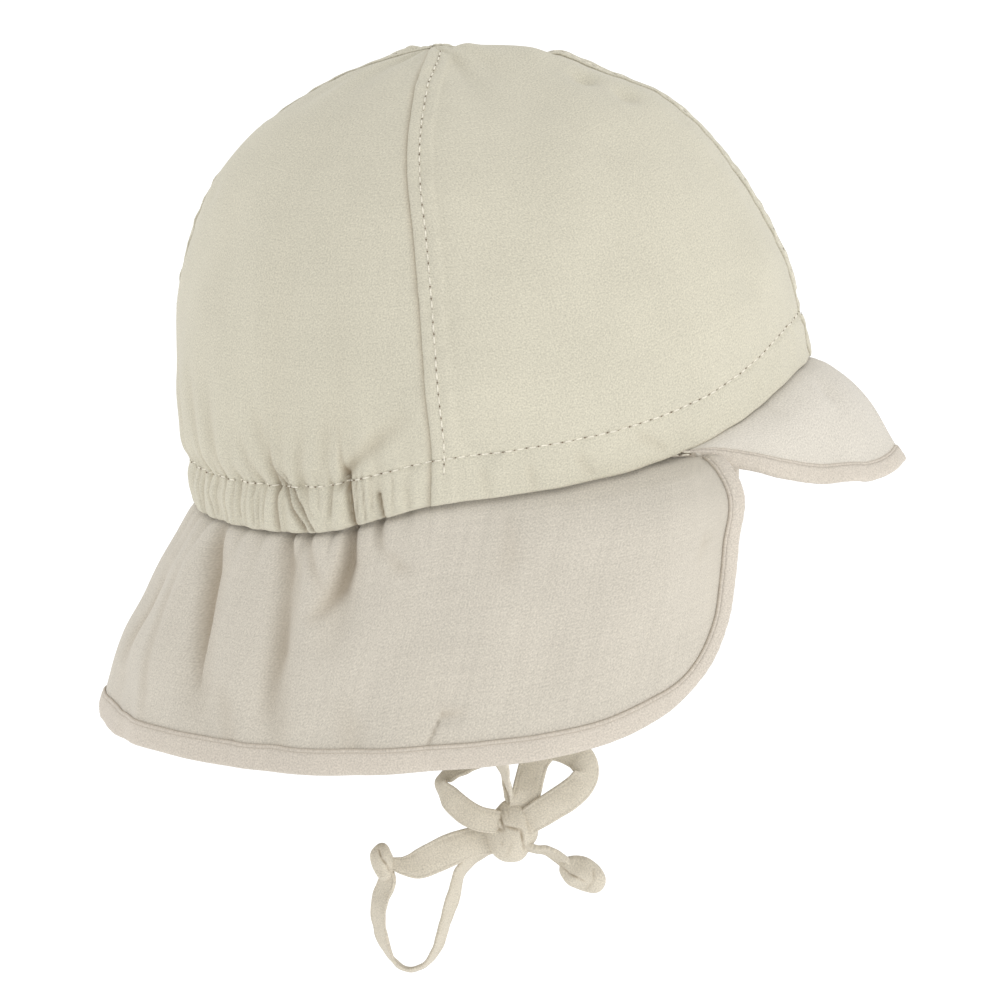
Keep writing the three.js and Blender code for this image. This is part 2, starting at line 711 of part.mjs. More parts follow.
// Angle where the peak's seam ends, just ahead of the flap
function peakAngle() {
  return mix(flapFrontAngle, seamAngle, flapFrontRows[0].top) - peakGap;
}

// Middle face of the peak at a seam angle, a share of the way to its edge
function peakPoint(angle, share) {
  const column = (name) => smoothColumn(peakRows, "place", name, Math.abs(angle) / peakAngle());
  const root = crownPoint(angle, 0, casingWall + tuckGap + peakWall / 2);
  root.z -= peakSeamDrop;
  const reach = new THREE.Vector3(
    -Math.sign(angle) * peakSpread * column("across"),
    -peakLength * column("reach"),
    -peakFall * column("fall"),
  );
  const arch = Math.min(reach.length() / peakLength, 1) * Math.sin(Math.PI * share ** 0.75);
  const normal = outward(angle).add(up).normalize();
  return root.addScaledVector(reach, share).addScaledVector(normal, peakBulge * arch);
}

function addPeak() {
  const rightHalf = peakRows
    .flatMap((row, i) => (i ? [mix(peakRows[i - 1].place, row.place, 1 / 2), row.place] : [row.place]))
    .map((place) => place * peakAngle());
  const angles = [...rightHalf.slice(1).map((a) => -a).reverse(), ...rightHalf];
  const lengthAt = (angle) => peakPoint(angle, 0).distanceTo(peakPoint(angle, 1));
  const insetShare = (angle) => Math.max(1 - (peakBindingWidth + bindingMargin) / lengthAt(angle), leastInset);
  const tucked = angles.map((angle) =>
    crownPoint(angle, turnAt(angle, hemTuck), casingWall + tuckGap + peakWall / 2),
  );
  const rows = peakShares.map((share) => angles.map((angle) => peakPoint(angle, share * insetShare(angle))));
  const inset = angles.map((angle) => peakPoint(angle, insetShare(angle)));
  const edge = angles.map((angle) => peakPoint(angle, 1));
  const sheet = [tucked, ...rows, inset, edge];
  const normals = sheetNormals(sheet);
  addSheet("peak", sheet, normals, peakWall, creamCrown);
  const bound = (rows) => rows.map((row) => row.slice(1, -1));
  addBinding("peak_binding", bound(sheet), bound(normals), peakWall, peakBindingWidth);
}

// Flat ribbon along a route, with its twist from the direction it faces
function ribbonGeometry(route, face) {
  const curve = new THREE.CatmullRomCurve3(
    route.map((p) => new THREE.Vector3(p.x, p.y, p.z)),
    false,
    "centripetal",
  );
  const count = (route.length - 1) * tieSteps + 1;
  const sides = [[], []];
  const faces = [[], []];
  for (let i = 0; i < count; i++) {
    const t = i / (count - 1);
    const middle = curve.getPoint(t);
    const tangent = curve.getTangent(t);
    const place = t * (route.length - 1);
    const k = Math.min(Math.floor(place), route.length - 2);
    const turn = THREE.MathUtils.degToRad(mix(route[k].turn, route[k + 1].turn, place - k));
    const square = face.clone().addScaledVector(tangent, -face.dot(tangent)).normalize();
    square.applyAxisAngle(tangent, turn);
    const across = tangent.clone().cross(square);
    [-1, 1].forEach((side, s) => {
      const rim = middle.clone().addScaledVector(across, (side * tieWidth) / 2);
      sides[s].push(rim.clone().addScaledVector(square, tieThickness / 2));
      faces[s].push(rim.clone().addScaledVector(square, -tieThickness / 2));
    });
  }
  return shell(sides, faces);
}

const bowSide = new THREE.Vector3(-1, 0, 0).applyAxisAngle(up, THREE.MathUtils.degToRad(bowTurn));
const bowAlong = up.clone().cross(bowSide);

function bowPoint(p) {
  return new THREE.Vector3(bowCentre.x, bowCentre.y, bowCentre.z)
    .addScaledVector(bowAlong, p.along)
    .addScaledVector(bowSide, p.out)
    .addScaledVector(up, p.up);
}

function bowRoute(rows) {
  return rows.map((row) => {
    const p = bowPoint(row);
    return { x: p.x, y: p.y, z: p.z, turn: row.turn };
  });
}

// Flattened ball of a knot, grown by a margin
function knotGeometry(row, margin) {
  const geometry = new THREE.SphereGeometry(1, knotRound, knotRings);
  geometry.scale(row.long + margin, row.deep + margin, row.high + margin);
  geometry.rotateY(THREE.MathUtils.degToRad(-row.tilt));
  const frame = new THREE.Matrix4().makeBasis(bowAlong, bowSide.clone().negate(), up);
  geometry.applyMatrix4(frame);
  const centre = bowPoint(row);
  geometry.translate(centre.x, centre.y, centre.z);
  return geometry;
}

const wasm = await Module();
wasm.setup();

function solidOf(geometry) {
  const plain = new THREE.BufferGeometry();
  const source = geometry.index ? geometry.toNonIndexed() : geometry;
  plain.setAttribute("position", source.getAttribute("position"));
  const merged = BufferGeometryUtils.mergeVertices(plain, 1e-4);
  return new wasm.Manifold(
    new wasm.Mesh({
      numProp: 3,
      vertProperties: merged.attributes.position.array,
      triVerts: new Uint32Array(merged.index.array),
    }),
  );
}

function geometryOf(solid) {
  const mesh = solid.getMesh();
  const geometry = new THREE.BufferGeometry();
  const positions = [];
  for (let i = 0; i < mesh.vertProperties.length; i += mesh.numProp)
    positions.push(...mesh.vertProperties.subarray(i, i + 3));
  geometry.setAttribute("position", new THREE.Float32BufferAttribute(positions, 3));
  geometry.setIndex([...mesh.triVerts]);
  return geometry;
}

// What is left of a ribbon outside the knots, its longest piece
function clearOfKnots(geometry) {
  let solid = solidOf(geometry);
  for (const row of knotRows) solid = solid.subtract(solidOf(knotGeometry(row, clearance)));
  const pieces = solid.decompose().sort((a, b) => b.volume() - a.volume());
  return geometryOf(pieces[0]);
}

function addRibbon(name, route, face) {
  addPiece(name, clearOfKnots(ribbonGeometry(route, face)), creamTie);
}

function addBow() {
  for (const row of knotRows) {
    const plain = knotGeometry(row, 0);
    addPiece(row.name, geometryOf(solidOf(plain)), creamTie);
  }
  addRibbon("bow_loop_left", bowRoute(loopLeftRoute), bowSide);
  addRibbon("bow_loop_right", bowRoute(loopRightRoute), bowSide);
  addRibbon("tail_left", bowRoute(tailLeftRoute), bowSide);
  addRibbon("tail_left_return", bowRoute(tailReturnRoute), bowSide);
  addRibbon("tail_right", bowRoute(tailRightRoute), bowSide);
  addRibbon("tie_right", tieRightRoute, bowSide);
  addRibbon("tie_left", tieLeftRoute, bowSide);
}

const frontRight = frontPanelColumns();
addPanel("crown_panel_front_right", frontRight);
addPanel("crown_panel_front_left", frontRight.map((angle) => 360 - angle).reverse());
addPanel("crown_panel_back_right", rightColumns);
addPanel("crown_panel_back_left", leftColumns);
addFlap();
addPeak();
addBow();

export default stack;
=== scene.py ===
import math

import bmesh
import bpy
import numpy as np
from mathutils import Matrix, Vector


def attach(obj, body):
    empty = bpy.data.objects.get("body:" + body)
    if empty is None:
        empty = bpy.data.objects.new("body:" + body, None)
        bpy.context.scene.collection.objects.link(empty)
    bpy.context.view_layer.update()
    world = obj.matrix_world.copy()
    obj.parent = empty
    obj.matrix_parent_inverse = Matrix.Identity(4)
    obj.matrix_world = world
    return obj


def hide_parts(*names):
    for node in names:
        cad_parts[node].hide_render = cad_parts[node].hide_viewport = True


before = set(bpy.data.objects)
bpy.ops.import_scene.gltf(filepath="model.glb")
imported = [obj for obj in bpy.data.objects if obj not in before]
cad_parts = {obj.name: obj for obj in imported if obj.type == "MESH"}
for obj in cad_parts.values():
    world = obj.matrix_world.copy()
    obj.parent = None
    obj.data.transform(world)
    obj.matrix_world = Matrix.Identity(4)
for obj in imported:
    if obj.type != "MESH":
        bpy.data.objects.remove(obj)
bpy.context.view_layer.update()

MM = 0.001

# Camera
# The cap is seen from the wearer's right, a little from the front and from above, by a
# camera one metre away. The image is square, and the aim is set beside the opening.
camera_azimuth = math.radians(-85)
camera_elevation = math.radians(10)
camera_distance = 1.0
camera_lens = 138.8
sensor = 36.0
aim_right = -0.26 * MM
aim_up = -16.9 * MM

towards = Vector((
    math.sin(camera_azimuth) * math.cos(camera_elevation),
    -math.cos(camera_azimuth) * math.cos(camera_elevation),
    math.sin(camera_elevation),
))
image_right = Vector((math.cos(camera_azimuth), math.sin(camera_azimuth), 0))
image_up = towards.cross(image_right)
camera = bpy.data.objects.new("camera", bpy.data.cameras.new("camera"))
camera.data.lens = camera_lens
camera.data.sensor_width = sensor
camera.data.clip_start = 0.05
camera.data.clip_end = 50
camera.location = image_right * aim_right + image_up * aim_up + towards * camera_distance
camera.rotation_mode = "QUATERNION"
camera.rotation_quaternion = (-towards).to_track_quat("-Z", "Y")
bpy.context.scene.collection.objects.link(camera)
bpy.context.scene.camera = camera

# Ties and bow
# Two flat ties of folded cream cotton, edge-stitched, come out of the hem at the ears
# and meet under the chin in a bow. Its left tail turns back behind the knot, and each
# tail ends in a small knot. The bow's routes refine those of its solids by a few mm.
tie_width = 7.6 * MM
tie_thickness = 0.95 * MM
tie_edge = 0.8  # thickness at a ribbon's edges, as a share of its middle
bow_centre = Vector((0, -3.7, -106.1)) * MM
bow_turn = math.radians(5)
bow_side = Vector((-math.cos(bow_turn), -math.sin(bow_turn), 0))
bow_along = Vector((0, 0, 1)).cross(bow_side)
tie_colour = (0.620, 0.568, 0.468, 1)
thread_pitch = 0.30 * MM
# Grain of the cotton: noise per metre, and its shares of the height and of the tone
slub_scale, slub_stretch, slub_tone = 900, 0.03, 0.20
fuzz_scale, fuzz_height, fuzz_tone = 2300, 1.2, 0.85
broad_scale, middle_scale, middle_tone = 55, 420, 0.6
yarn_height = 0.35


def link(bm, name, material):
    """New object of a finished bmesh, in the scene."""
    mesh = bpy.data.meshes.new(name)
    bm.to_mesh(mesh)
    bm.free()
    mesh.materials.append(material)
    piece = bpy.data.objects.new(name, mesh)
    bpy.context.scene.collection.objects.link(piece)
    return piece


def dress(piece, node=None):
    """Puts a piece on the root body and hides the CAD node that it stands for."""
    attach(piece, "root")
    if node:
        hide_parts(node)
    return piece


def set_inputs(node, values):
    for name, value in values.items():
        node.inputs[name].default_value = value


def weave_group():
    """Plain woven cotton: its yarns, slubs, fuzz and uneven cream colour, with painted shade mixed in where a mesh
    marks its hollows.
    """
    group = bpy.data.node_groups.new("cotton weave", "ShaderNodeTree")
    sockets = group.interface
    for name, kind, value in (
        ("Cloth", "NodeSocketColor", (0.6, 0.55, 0.45, 1)),
        ("Painted shade colour", "NodeSocketColor", (0.4, 0.33, 0.24, 1)),
        ("Yarns per metre", "NodeSocketFloat", 1 / thread_pitch),
        ("Slub", "NodeSocketFloat", 0.5),
        ("Mottle", "NodeSocketFloat", 0.5),
    ):
        socket = sockets.new_socket(name=name, in_out="INPUT", socket_type=kind)
        socket.default_value = value
    sockets.new_socket(name="Color", in_out="OUTPUT", socket_type="NodeSocketColor")
    sockets.new_socket(name="Height", in_out="OUTPUT", socket_type="NodeSocketFloat")
    nodes, links = group.nodes, group.links
    given = nodes.new("NodeGroupInput")
    result = nodes.new("NodeGroupOutput")
    cloth_map = nodes.new("ShaderNodeUVMap")
    cloth_map.uv_map = "UVMap"
    split = nodes.new("ShaderNodeSeparateXYZ")
    links.new(cloth_map.outputs["UV"], split.inputs[0])

    def sum_of(kind, a, b=None):
        node = nodes.new("ShaderNodeMath")
        node.operation = kind
        for socket, value in zip(node.inputs, (a, b)):
            if isinstance(value, (int, float)):
                socket.default_value = value
            elif value is not None:
                links.new(value, socket)
        return node.outputs[0]

    def noise(scale, detail, stretch=(1, 1, 1)):
        mapping = nodes.new("ShaderNodeMapping")
        set_inputs(mapping, {"Scale": stretch})
        links.new(cloth_map.outputs["UV"], mapping.inputs["Vector"])
        node = nodes.new("ShaderNodeTexNoise")
        set_inputs(node, {"Scale": scale, "Detail": detail})
        links.new(mapping.outputs[0], node.inputs["Vector"])
        return sum_of("SUBTRACT", node.outputs["Fac"], 0.5)

    turns = sum_of("MULTIPLY", given.outputs["Yarns per metre"], math.pi)
    warp = sum_of("SINE", sum_of("MULTIPLY", split.outputs["X"], turns))
    weft = sum_of("SINE", sum_of("MULTIPLY", split.outputs["Y"], turns))
    yarns = sum_of("ABSOLUTE", sum_of("MULTIPLY", warp, weft))
    slubs = sum_of(
        "ADD", noise(slub_scale, 2, (1, slub_stretch, 1)), noise(slub_scale, 2, (slub_stretch, 1, 1))
    )
    streaks = sum_of("MULTIPLY", slubs, given.outputs["Slub"])
    fuzz = noise(fuzz_scale, 3)
    height = sum_of("ADD", sum_of("MULTIPLY", yarns, yarn_height), streaks)
    height = sum_of("ADD", height, sum_of("MULTIPLY", fuzz, fuzz_height))
    links.new(height, result.inputs["Height"])

    clouds = sum_of("ADD", noise(broad_scale, 4), sum_of("MULTIPLY", noise(middle_scale, 3), middle_tone))
    tone = sum_of("MULTIPLY", clouds, given.outputs["Mottle"])
    tone = sum_of("ADD", tone, sum_of("MULTIPLY", streaks, slub_tone))
    tone = sum_of("ADD", tone, sum_of("MULTIPLY", fuzz, fuzz_tone))
    tone = sum_of("ADD", tone, 1.0)
    scaled = nodes.new("ShaderNodeVectorMath")
    scaled.operation = "SCALE"
    links.new(given.outputs["Cloth"], scaled.inputs[0])
    links.new(tone, scaled.inputs["Scale"])
    # Painted shade: by a mask that each mesh carries, the cloth's colour turns to a darker, warmer one in folds,
    # creases, beside seams and at stitch holes.
    painted_shade = nodes.new("ShaderNodeAttribute")
    painted_shade.attribute_name = "painted_shade"
    blend = nodes.new("ShaderNodeMix")
    blend.data_type = "RGBA"
    links.new(painted_shade.outputs["Fac"], blend.inputs["Factor"])
    links.new(scaled.outputs[0], blend.inputs["A"])
    links.new(given.outputs["Painted shade colour"], blend.inputs["B"])
    links.new(blend.outputs["Result"], result.inputs["Color"])
    return group


cotton_weave = weave_group()


def cotton(name, colour, painted_shade=(0.32, 0.25, 0.165, 1), slub=0.25, mottle=0.12, bump=0.35):
    """Matt cream cotton of one colour, with painted shade, darker and warmer, in its deep hollows."""
    material = bpy.data.materials.new(name)
    material.use_nodes = True
    nodes, links = material.node_tree.nodes, material.node_tree.links
    shader = nodes["Principled BSDF"]
    set_inputs(shader, {"Roughness": 0.92, "Specular IOR Level": 0.25, "Sheen Weight": 0.12, "Sheen Roughness": 0.6})
    weave = nodes.new("ShaderNodeGroup")
    weave.node_tree = cotton_weave
    set_inputs(weave, {"Cloth": colour, "Painted shade colour": painted_shade, "Slub": slub, "Mottle": mottle})
    raised = nodes.new("ShaderNodeBump")
    set_inputs(raised, {"Strength": bump, "Distance": 0.12 * MM})
    links.new(weave.outputs["Height"], raised.inputs["Height"])
    links.new(weave.outputs["Color"], shader.inputs["Base Color"])
    links.new(raised.outputs["Normal"], shader.inputs["Normal"])
    return material


tie_cotton = cotton("tie cotton", tie_colour, slub=0.35, bump=0.3)
thread_colour = (0.78, 0.74, 0.63, 1)
# Painted shade: the thread's ends and its pin holes are coloured dark where it goes into the cloth.
thread_hole_shade = (0.20, 0.15, 0.10, 1)
thread = cotton("sewing thread", thread_colour, thread_hole_shade)


def table(names, *rows):
    """Short table as columns that go by name."""
    return {name: np.array(column, float) for name, column in zip(names.split(), zip(*rows))}


def rows_of(columns):
    """Rows of a table, each a tuple of its values."""
    return zip(*columns.values())


def smooth_column(rows, by, column, at):
    """Value of a table's column between its rows, along a smooth curve."""
    x, y = rows[by], rows[column]
    at = np.clip(at, x[0], x[-1])
    before = np.maximum(np.arange(len(x)) - 1, 0)
    after = np.minimum(np.arange(len(x)) + 1, len(x) - 1)
    slope = (y[after] - y[before]) / (x[after] - x[before])
    i = np.clip(np.searchsorted(x, at) - 1, 0, len(x) - 2)
    span = x[i + 1] - x[i]
    t = (at - x[i]) / span
    rest = 1 - t
    return (
        y[i] * rest * rest * (1 + 2 * t)
        + y[i + 1] * t * t * (3 - 2 * t)
        + span * t * rest * (slope[i] * rest - slope[i + 1] * t)
    )


def smoothstep(x, low, high):
    t = np.clip((x - low) / (high - low), 0, 1)
    return t * t * (3 - 2 * t)


def bell(offset, width):
    return np.exp(-((offset / width) ** 2))


def bow_points(rows):
    """Points given along the bow, out of it and up, in the cap's own frame."""
    return [
        bow_centre + (bow_along * along + bow_side * out + Vector((0, 0, 1)) * up) * MM
        for along, out, up, *_ in rows_of(rows)
    ]


def route_points(rows):
    """Points of a ribbon, given in the bow's frame or in the cap's."""
    if "along" in rows:
        return bow_points(rows)
    return [Vector(row[:3]) * MM for row in rows_of(rows)]


def round_route(points, steps):
    """Centripetal Catmull-Rom curve through points, with steps for each stretch."""
    ends = [points[0] * 2 - points[1], *points, points[-1] * 2 - points[-2]]
    line = []
    for a, b, c, d in zip(ends, ends[1:], ends[2:], ends[3:]):
        t1 = (b - a).length ** 0.5
        t2 = t1 + (c - b).length ** 0.5
        t3 = t2 + (d - c).length ** 0.5
        for step in range(steps):
            t = t1 + (t2 - t1) * step / steps
            ab = a.lerp(b, t / t1)
            bc = b.lerp(c, (t - t1) / (t2 - t1))
            cd = c.lerp(d, (t - t2) / (t3 - t2))
            line.append(ab.lerp(bc, t / t2).lerp(bc.lerp(cd, (t - t1) / (t3 - t1)), (t - t1) / (t2 - t1)))
    line.append(points[-1])
    return line


def unit(vectors):
    return vectors / np.maximum(np.linalg.norm(vectors, axis=-1, keepdims=True), 1e-12)


def lengths_along(points):
    """Distance walked along the last but one axis of an array of points."""
    steps = np.linalg.norm(np.diff(points, axis=-2), axis=-1)
    zero = np.zeros(steps.shape[:-1] + (1,))
    return np.concatenate([zero, np.cumsum(steps, axis=-1)], axis=-1)


def lengths_down(points):
    """Distance walked down the rows of a sheet's points."""
    return lengths_along(np.swapaxes(points, 0, 1)).T


def ripple(points, wavelength, seed, waves=28):
    """Smooth random unevenness in space, about -1 to 1."""
    draw = np.random.default_rng(seed)
    directions = unit(draw.normal(size=(waves, 3)))
    scale = draw.uniform(0.7, 1.5, waves) * 2 * math.pi / wavelength
    phase = draw.uniform(0, 2 * math.pi, waves)
    total = np.zeros(points.shape[:-1])
    for direction, k, start in zip(directions, scale, phase):
        total += np.cos(points @ direction * k + start)
    return total / math.sqrt(waves / 2) / 2


def laid_grid(name, points, cloth_map, painted_shade, outside, material, closed=False):
    """Grid of faces laid on rows of points, with its map of the flat cloth."""
    rows, columns = points.shape[:2]
    bm = bmesh.new()
    bmesh.ops.create_grid(bm, x_segments=columns - 1, y_segments=rows - 1, size=1.0)
    flat = points.reshape(-1, 3)
    for vert, place in zip(bm.verts, flat):
        vert.co = place
    middle = bm.faces[:][len(bm.faces) // 2]
    middle.normal_update()
    here = middle.verts[0].index
    if middle.normal.dot(Vector(outside.reshape(-1, 3)[here])) < 0:
        bmesh.ops.reverse_faces(bm, faces=bm.faces[:])
    chart = bm.loops.layers.uv.new("UVMap")
    # Mask of painted shade, by which the cloth is coloured darker in its hollows.
    dark = bm.verts.layers.float.new("painted_shade")
    charted = cloth_map.reshape(-1, 2)
    for vert, depth in zip(bm.verts, painted_shade.ravel()):
        vert[dark] = depth
    for face in bm.faces:
        face.smooth = True
        for corner in face.loops:
            corner[chart].uv = charted[corner.vert.index]
    if closed:
        bmesh.ops.remove_doubles(bm, verts=bm.verts[:], dist=1e-7)
        open_edges = [edge for edge in bm.edges if edge.is_boundary]
        bmesh.ops.holes_fill(bm, edges=open_edges, sides=0)
    return link(bm, name, material)


def thicken(piece, wall, offset=-1):
    """Gives a sheet its thickness, inward from the face it shows."""
    solid = piece.modifiers.new("cloth", "SOLIDIFY")
    solid.thickness = wall
    solid.offset = offset
    solid.use_quality_normals = True


ribbon_steps = 10
ribbon_cup, ribbon_cup_run = 0.5 * MM, 17 * MM
ribbon_crinkles = ((10 * MM, 0.34 * MM, 0), (4 * MM, 0.10 * MM, 50))
# Half of a ribbon's flat face, from its folded edge past its edge stitching to its middle
ribbon_rows = table(
    "side lift",
    (1, 0), (0.985, 0.5), (0.95, 0.82), (0.9, 0.97), (0.84, 1), (0.78, 0.7), (0.72, 0.98),
    (0.5, 1), (0.25, 1), (0, 1),
)


def ribbon(node, route, seed):
    """Flat tie along its route: a thin closed tube of folded cloth, softly crinkled."""
    line = round_route(route_points(route), ribbon_steps)
    middle = np.array(line)
    tangent = unit(np.gradient(middle, axis=0))
    place = np.arange(len(line)) / ribbon_steps
    rows = {"i": np.arange(len(route["turn"]), dtype=float), **route}
    turn = np.radians(smooth_column(rows, "i", "turn", place))[:, None]
    width = smooth_column(rows, "i", "wide", place)[:, None] * tie_width
    depth = smooth_column(rows, "i", "thick", place)[:, None] * tie_thickness
    face = np.array(bow_side)
    square = unit(face - tangent * (tangent @ face)[:, None])
    square = square * np.cos(turn) + np.cross(tangent, square) * np.sin(turn)
    across = np.cross(tangent, square)
    half, rise = ribbon_rows["side"], ribbon_rows["lift"]
    over = np.concatenate((half, -half[-2::-1]))
    side = np.concatenate((over, over[-2::-1]))[None, :]
    raised = np.concatenate((rise, rise[-2::-1]))
    lift = np.concatenate((raised, -raised[-2::-1]))[None, :]
    lift = lift * (tie_edge + (1 - tie_edge) * (1 - side**2))
    walked = lengths_along(middle)[:, None]
    cup = ribbon_cup * (side**2 - 0.4) * np.sin(walked / ribbon_cup_run + seed)
    x = (side * width / 2)[..., None] * across[:, None, :]
    y = (lift * depth / 2 + cup)[..., None] * square[:, None, :]
    tube = middle[:, None, :] + x + y
    crinkle = sum(ripple(tube, wave, seed + more) * deep for wave, deep, more in ribbon_crinkles)
    tube = tube + square[:, None, :] * crinkle[..., None]
    tube[:, -1] = tube[:, 0]
    chart = np.stack(np.broadcast_arrays(side * width / 2, walked), axis=-1)
    out = tube - middle[:, None, :]
    piece = laid_grid(node + "_ribbon", tube, chart, np.zeros(tube.shape[:2]), out, tie_cotton, closed=True)
    return dress(piece, node), line


loop_left_route = table(
    "along out up turn wide thick",
    (-1.2, 0.9, 2.2, 10, 0.6, 1.6),
    (-4.6, 2.6, 3.4, 10, 0.8, 1.5),
    (-9.4, 3.3, 4.4, 0, 0.9, 1.1),
    (-13.8, 2.8, 6.6, -8, 0.95, 1),
    (-17.4, 1.4, 9.8, -30, 0.95, 1),
    (-19.6, -1, 12.9, -70, 0.95, 1),
    (-16.9, -2.6, 15.6, -68, 0.95, 1),
    (-13, -3.4, 17.6, -66, 1, 1),
    (-8.6, -3.8, 19.4, -70, 1, 1),
    (-5, -3.8, 19.2, -80, 1, 1),
    (-3.4, -3.4, 16.4, -88, 1, 1),
    (-2.4, -2.8, 12.2, -88, 0.95, 1.1),
    (-1.6, -2, 8.2, -88, 0.8, 1.5),
    (-0.8, -1, 4.6, -88, 0.7, 1.6),
)
loop_right_route = table(
    "along out up turn wide thick",
    (2.2, 1.2, 2.2, 0, 0.9, 1.5),
    (5.4, 3.2, 5.0, 0, 1.0, 1.2),
    (9.4, 3.2, 7.5, 0, 1.04, 1),
    (13.8, 2.4, 10.3, 0, 1.05, 1),
    (17.4, 1.2, 13.2, 6, 1.02, 1),
    (18.9, -0.2, 16.2, 30, 1.02, 1),
    (17.2, -1.8, 19.6, 20, 1, 1),
    (13.0, -2.8, 21.8, 4, 1, 1),
    (8.8, -3.2, 22.2, 0, 1, 1),
    (5.6, -2.2, 19.4, 4, 1, 1),
    (4.1, -0.6, 15.2, 6, 1, 1),
    (2.9, 1.5, 10.6, 4, 1.0, 1.1),
    (1.4, 1.2, 5.6, 0, 0.85, 1.4),
)
tail_left_route = table(
    "along out up turn wide thick",
    (-2.0, -0.6, -1.4, 0, 0.9, 1.8),
    (-5.4, -0.2, -1.9, 0, 1.0, 1.5),
    (-11.4, 0.2, -2.9, 0, 1.08, 1.2),
    (-16.8, 1.2, -4.5, 0, 1.16, 1),
    (-22, 1.6, -6.9, 0, 1.12, 1),
    (-26.0, 1.4, -8.6, 10, 0.98, 1.1),
    (-29.4, 1.1, -8.9, 14, 0.66, 1.5),
    (-31.6, 0.9, -8.6, 20, 0.5, 1.9),
    (-34.0, 0.8, -8.2, 20, 0.42, 1.9),
)
tail_return_route = table(
    "along out up turn wide thick",
    (-33.9, 0.7, -10.6, 30, 0.5, 1.8),
    (-33.8, 0.6, -13.4, 34, 0.72, 1.4),
    (-35.4, 0.4, -17.4, 58, 0.9, 1.1),
    (-36.2, 0.2, -22.6, 62, 0.95, 1.1),
    (-35, 0.2, -29.4, 68, 0.95, 1.1),
    (-32.4, 0, -34.8, 72, 0.95, 1.1),
    (-28.4, -0.2, -37.9, 72, 0.95, 1.2),
    (-24, -0.4, -36.3, 72, 0.95, 1.2),
    (-20.7, -0.8, -31.6, 66, 0.95, 1.2),
    (-18.7, -1.2, -25.2, 62, 0.95, 1.2),
    (-16.9, -1.6, -19.2, 62, 0.95, 1.2),
    (-15, -2.2, -13.2, 62, 0.95, 1.2),
    (-12.2, -3.2, -8.8, 55, 0.9, 1.3),
    (-8, -4.0, -6.2, 50, 0.8, 1.5),
    (-3.6, -2.4, -4.4, 40, 0.7, 1.6),
)
tail_right_route = table(
    "along out up turn wide thick",
    (2.6, 0.4, -3.4, 60, 0.7, 1.8),
    (5.8, 0.6, -4.8, 60, 0.75, 1.8),
    (8.8, 0.6, -5.3, 56, 0.8, 1.6),
    (11.8, 0.4, -6.8, 50, 0.7, 1.9),
    (15.6, 0.2, -9.8, 50, 0.4, 1.9),
)
tie_right_route = table(
    "x y z turn wide thick",
    (-60.7, 0, -2.5, 0, 1, 1),
    (-60.2, -0.2, -14, 0, 1, 1),
    (-57.8, -0.6, -32, 4, 1, 1),
    (-51, -1.2, -52, 15, 1, 1),
    (-39.5, -1.8, -68.5, 40, 1, 1),
    (-24, -2.1, -81.3, 66, 1, 1),
    (-10.0, -2.2, -89.6, 72, 0.95, 1.1),
    (-1.0, -2.2, -94.6, 74, 0.7, 1.4),
    (1.6, -3.4, -102.0, 74, 0.45, 1.4),
)
tie_left_route = table(
    "x y z turn wide thick",
    (60.7, 0, -2.5, 0, 1, 1),
    (60.2, -0.4, -14, 0, 1, 1),
    (57.6, -1.6, -32, 0, 1, 1),
    (50, -3.6, -51, 0, 1, 1),
    (36, -6.2, -67, 0, 1, 1),
    (20.5, -8.2, -77.5, 0, 1, 1),
    (10.5, -8.8, -86.5, 0, 0.95, 1.1),
    (5.6, -7.3, -95.6, 0, 0.7, 1.5),
    (2.8, -6.2, -101.0, 0, 0.5, 1.6),
)


tie_right, tie_right_line = ribbon("tie_right", tie_right_route, seed=1)
tie_left, tie_left_line = ribbon("tie_left", tie_left_route, seed=2)
loop_left, loop_left_line = ribbon("bow_loop_left", loop_left_route, seed=3)
loop_right, loop_right_line = ribbon("bow_loop_right", loop_right_route, seed=4)
tail_left = ribbon("tail_left", tail_left_route, seed=5)[0]
tail_return, tail_return_line = ribbon("tail_left_return", tail_return_route, seed=6)
tail_right = ribbon("tail_right", tail_right_route, seed=7)[0]

# Knots
# Each knot is the tie wrapped over itself and pulled tight: a small flattened ball of
# cloth whose wraps show as lobes, with deep creases where one wrap goes under another.
knot_sizes = table(
    "along out up long deep high tilt",
    (-0.8, 0, 0.3, 6.6, 4.8, 8.4, -12),
    (-35.0, 0.9, -8, 3.1, 3, 5, 8),
    (17.9, 0.4, -11.4, 6.7, 3.2, 4.3, -26),
)
lobe_run, lobe_height = 6.0, 0.28  # the knots' uneven wraps, in millimetres
# Creases on the face of each knot, from its centre: along and up in millimetres
bow_knot_creases = table(
    "x1 z1 x2 z2 width depth",
    (-5.6, 6.6, -2.4, 1.0, 0.36, 0.75),
    (-2.4, 2.0, 2.0, 1.9, 0.30, 0.75),
    (2.0, 1.9, 3.4, -1.6, 0.34, 0.75),
    (3.4, -1.6, 4.2, -3.6, 0.40, 0.45),
    (-3.0, 0.7, -8.0, 0.8, 0.45, 0.8),
    (-4.4, 6.8, -2.6, 3.6, 0.20, 0.22),
    (-3.4, 7.4, -1.8, 4.4, 0.20, 0.20),
    (-2.3, -2.6, -2.0, -3.2, 0.35, 0.35),
    (0.4, -1.4, -0.2, -6.4, 0.55, 0.16),
    (3.0, 4.6, 4.8, 1.0, 0.50, 0.25),
)
left_knot_creases = table(
    "x1 z1 x2 z2 width depth",
    (-0.4, 4.2, 0.1, 1.8, 0.26, 0.55),
    (0.1, 1.8, 1.3, -0.2, 0.28, 0.60),
    (1.3, -0.2, 1.9, -2.6, 0.35, 0.35),
    (-1.7, -1.4, 0.4, -1.9, 0.16, 0.22),
    (-1.7, -2.2, 0.5, -2.6, 0.16, 0.24),
    (-1.4, -3.0, 0.6, -3.3, 0.16, 0.20),
)
